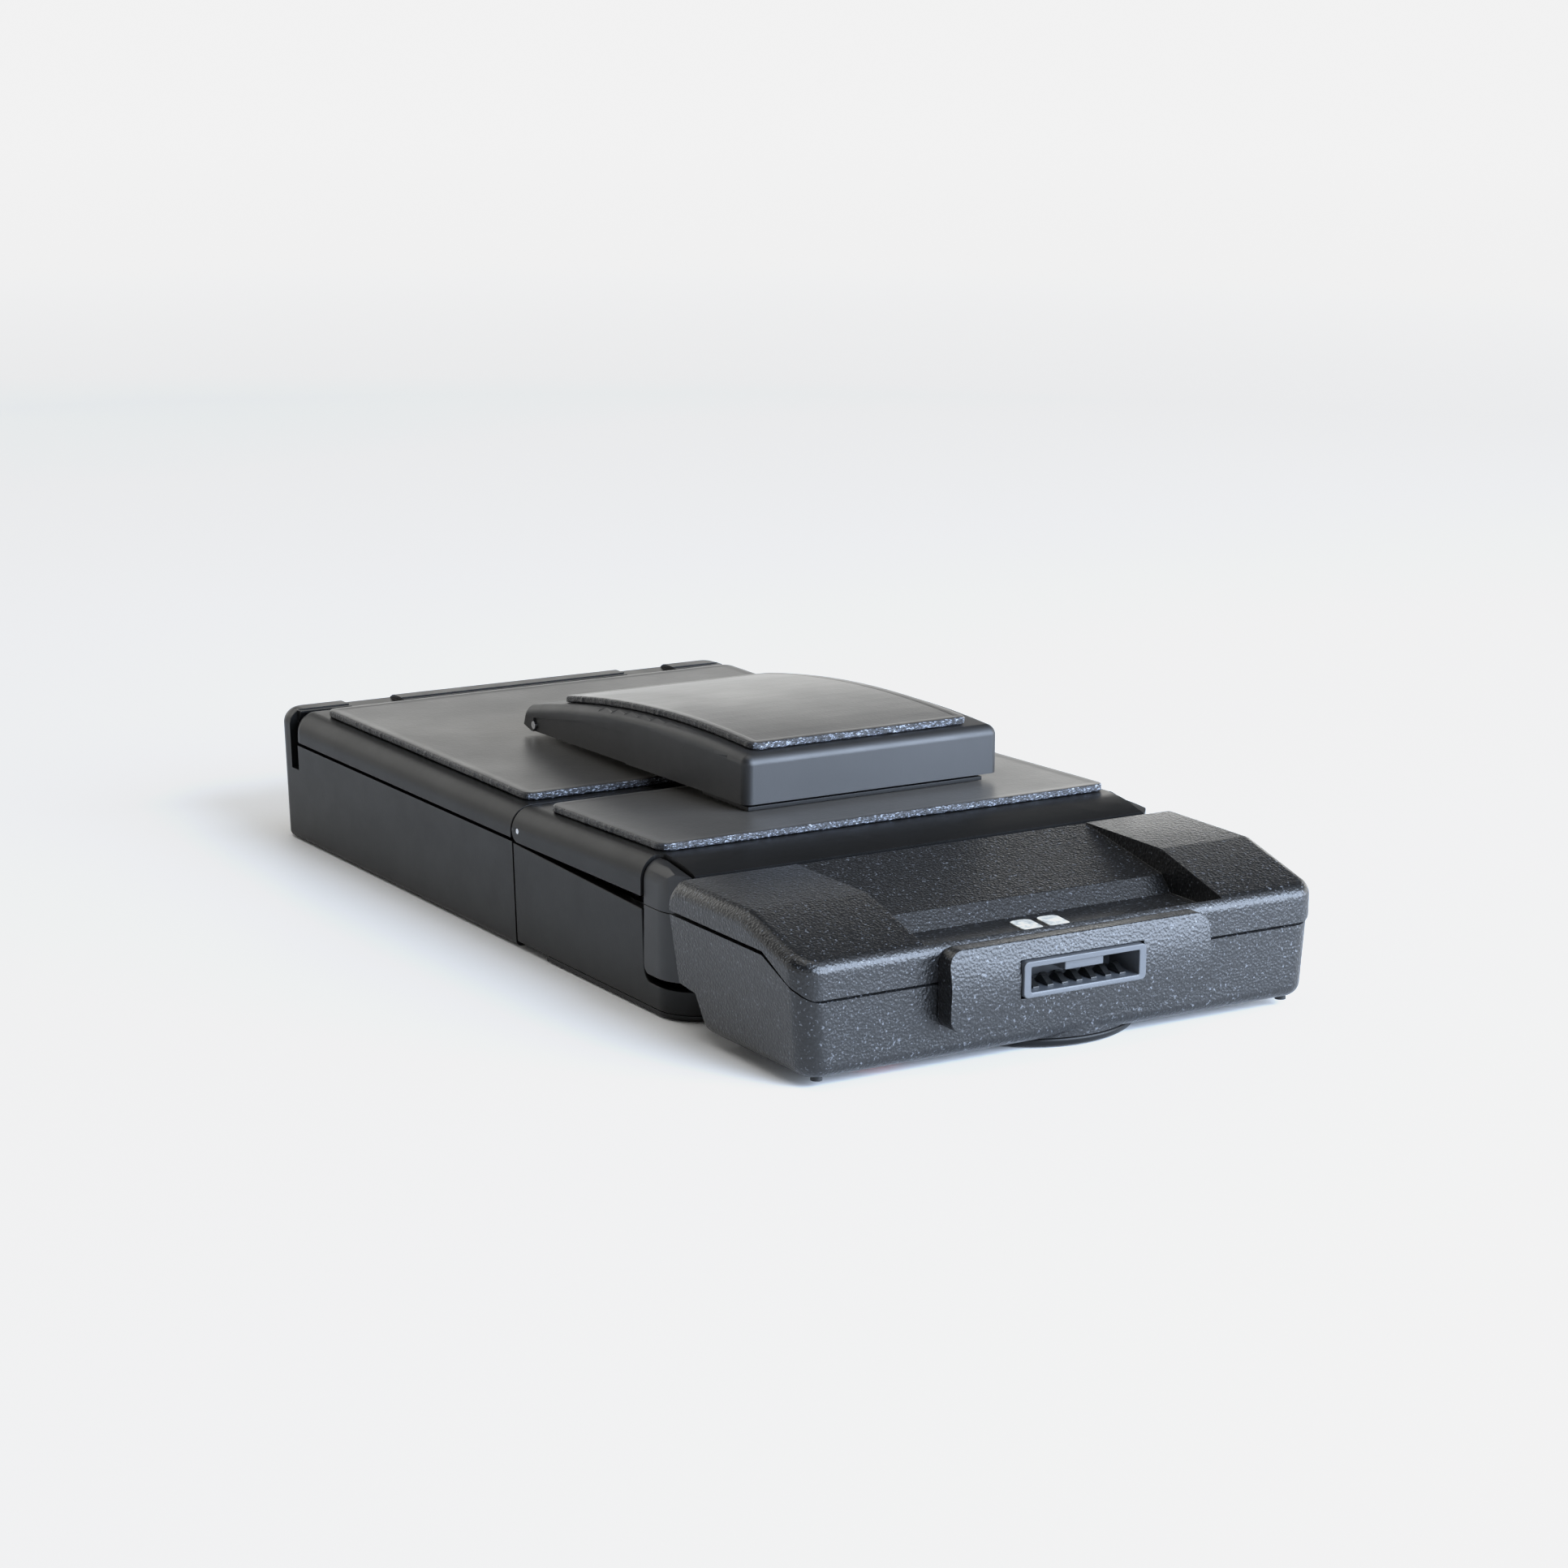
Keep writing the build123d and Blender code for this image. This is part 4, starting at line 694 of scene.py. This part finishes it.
def build_light():
    """A bright low backdrop, a dark upper room with three soft panels, and a window in front."""
    world = bpy.data.worlds.new("studio")
    world.use_nodes = True
    tree = world.node_tree
    background = tree.nodes["Background"]
    direction = tree.nodes.new("ShaderNodeTexCoord").outputs["Generated"]

    def band(vector, *stops):
        """A ramp over the cosine of the angle between the direction and a vector."""
        cosine = tree.nodes.new("ShaderNodeVectorMath")
        cosine.operation = "DOT_PRODUCT"
        cosine.inputs[1].default_value = Vector(vector).normalized()
        tree.links.new(direction, cosine.inputs[0])
        part = tree.nodes.new("ShaderNodeMapRange")
        part.inputs["From Min"].default_value = -1.0
        tree.links.new(cosine.outputs["Value"], part.inputs["Value"])
        return ramp(tree, part.outputs["Result"], [((at + 1) / 2, colour) for at, colour in stops])

    height = band(
        (0, 0, 1), (0.19, (1.0, 1.0, 0.98)), (0.26, (0.6, 0.6, 0.59)), (0.32, (0.14, 0.142, 0.145)),
        (0.42, UPPER_ROOM), (0.74, UPPER_ROOM),
    )
    sides = band(
        (0.93, 0.37, 0), (-0.2, (0.26, 0.26, 0.264)), (0.75, (0.58, 0.58, 0.58)), (1.0, FULL),
    )
    backdrop = vector_math(tree, "MULTIPLY", height, sides)
    light = vector_math(tree, "MULTIPLY", backdrop, (3.8, 3.8, 3.76))
    for toward, begins, whole, radiance in (
        ((-0.1, 0.1, 1), 0.90, 0.96, (2.7, 2.68, 2.6)),  # overhead
        ((-0.24, 0.83, 0.5), 0.91, 0.98, (1.8, 1.8, 1.76)),  # high at the back
        ((0.5, -0.42, 0.76), 0.90, 0.97, (1.5, 1.65, 1.9)),  # cool, high in front
    ):
        panel = band(toward, (begins, DARK), (whole, FULL))
        light = vector_math(tree, "ADD", light, vector_math(tree, "MULTIPLY", panel, radiance))
    tree.links.new(light, background.inputs["Color"])
    background.inputs["Strength"].default_value = 1.0
    bpy.context.scene.world = world
    soft_box(
        "window", position=(0.36, -0.68, 0.27), aim=(0.0, -0.10, 0.05), size=(1.1, 0.52),
        radiance=15.0, colour=(0.76, 0.91, 1.15),
    )


def film_curve():
    """The photograph's tone: straight in the darks, with the white table held just under white."""
    view = bpy.context.scene.view_settings
    view.view_transform = "Standard"
    view.use_curve_mapping = True
    mapping = view.curve_mapping
    white = 8.0
    mapping.white_level = (white, white, white)
    curve = mapping.curves[3]
    curve.points[0].location = (0.0, 0.0)
    curve.points[1].location = (1.0, 0.905)
    for level, shown in ((0.72, 0.72), (0.84, 0.82), (1.1, 0.87), (1.8, 0.888), (3.6, 0.897)):
        curve.points.new(level / white, shown)
    for point in curve.points:
        point.handle_type = "VECTOR"
    mapping.update()


def build_camera():
    """The photograph's viewing angle; its focal length is in pixels of the 1932-pixel picture."""
    target = Vector((0.03944, 0.05374, 0.010))
    distance = 0.8463
    focal_pixels = 5019.5
    picture_pixels = 1932
    azimuth, elevation, roll = (math.radians(a) for a in (-31.54, 13.1, 0.42))
    level = math.cos(elevation)
    away = Vector((math.sin(azimuth) * level, -math.cos(azimuth) * level, math.sin(elevation)))
    data = bpy.data.cameras.new("camera")
    data.sensor_width = 36.0
    data.lens = data.sensor_width * focal_pixels / picture_pixels
    data.clip_start = 10 * MM
    camera = bpy.data.objects.new("camera", data)
    camera.location = target + away * distance
    look = (-away).to_track_quat("-Z", "Y")
    camera.rotation_mode = "QUATERNION"
    camera.rotation_quaternion = look @ Quaternion((0, 0, 1), roll)
    bpy.context.scene.collection.objects.link(camera)
    bpy.context.scene.camera = camera


build_camera()
build_stage()
build_light()
film_curve()
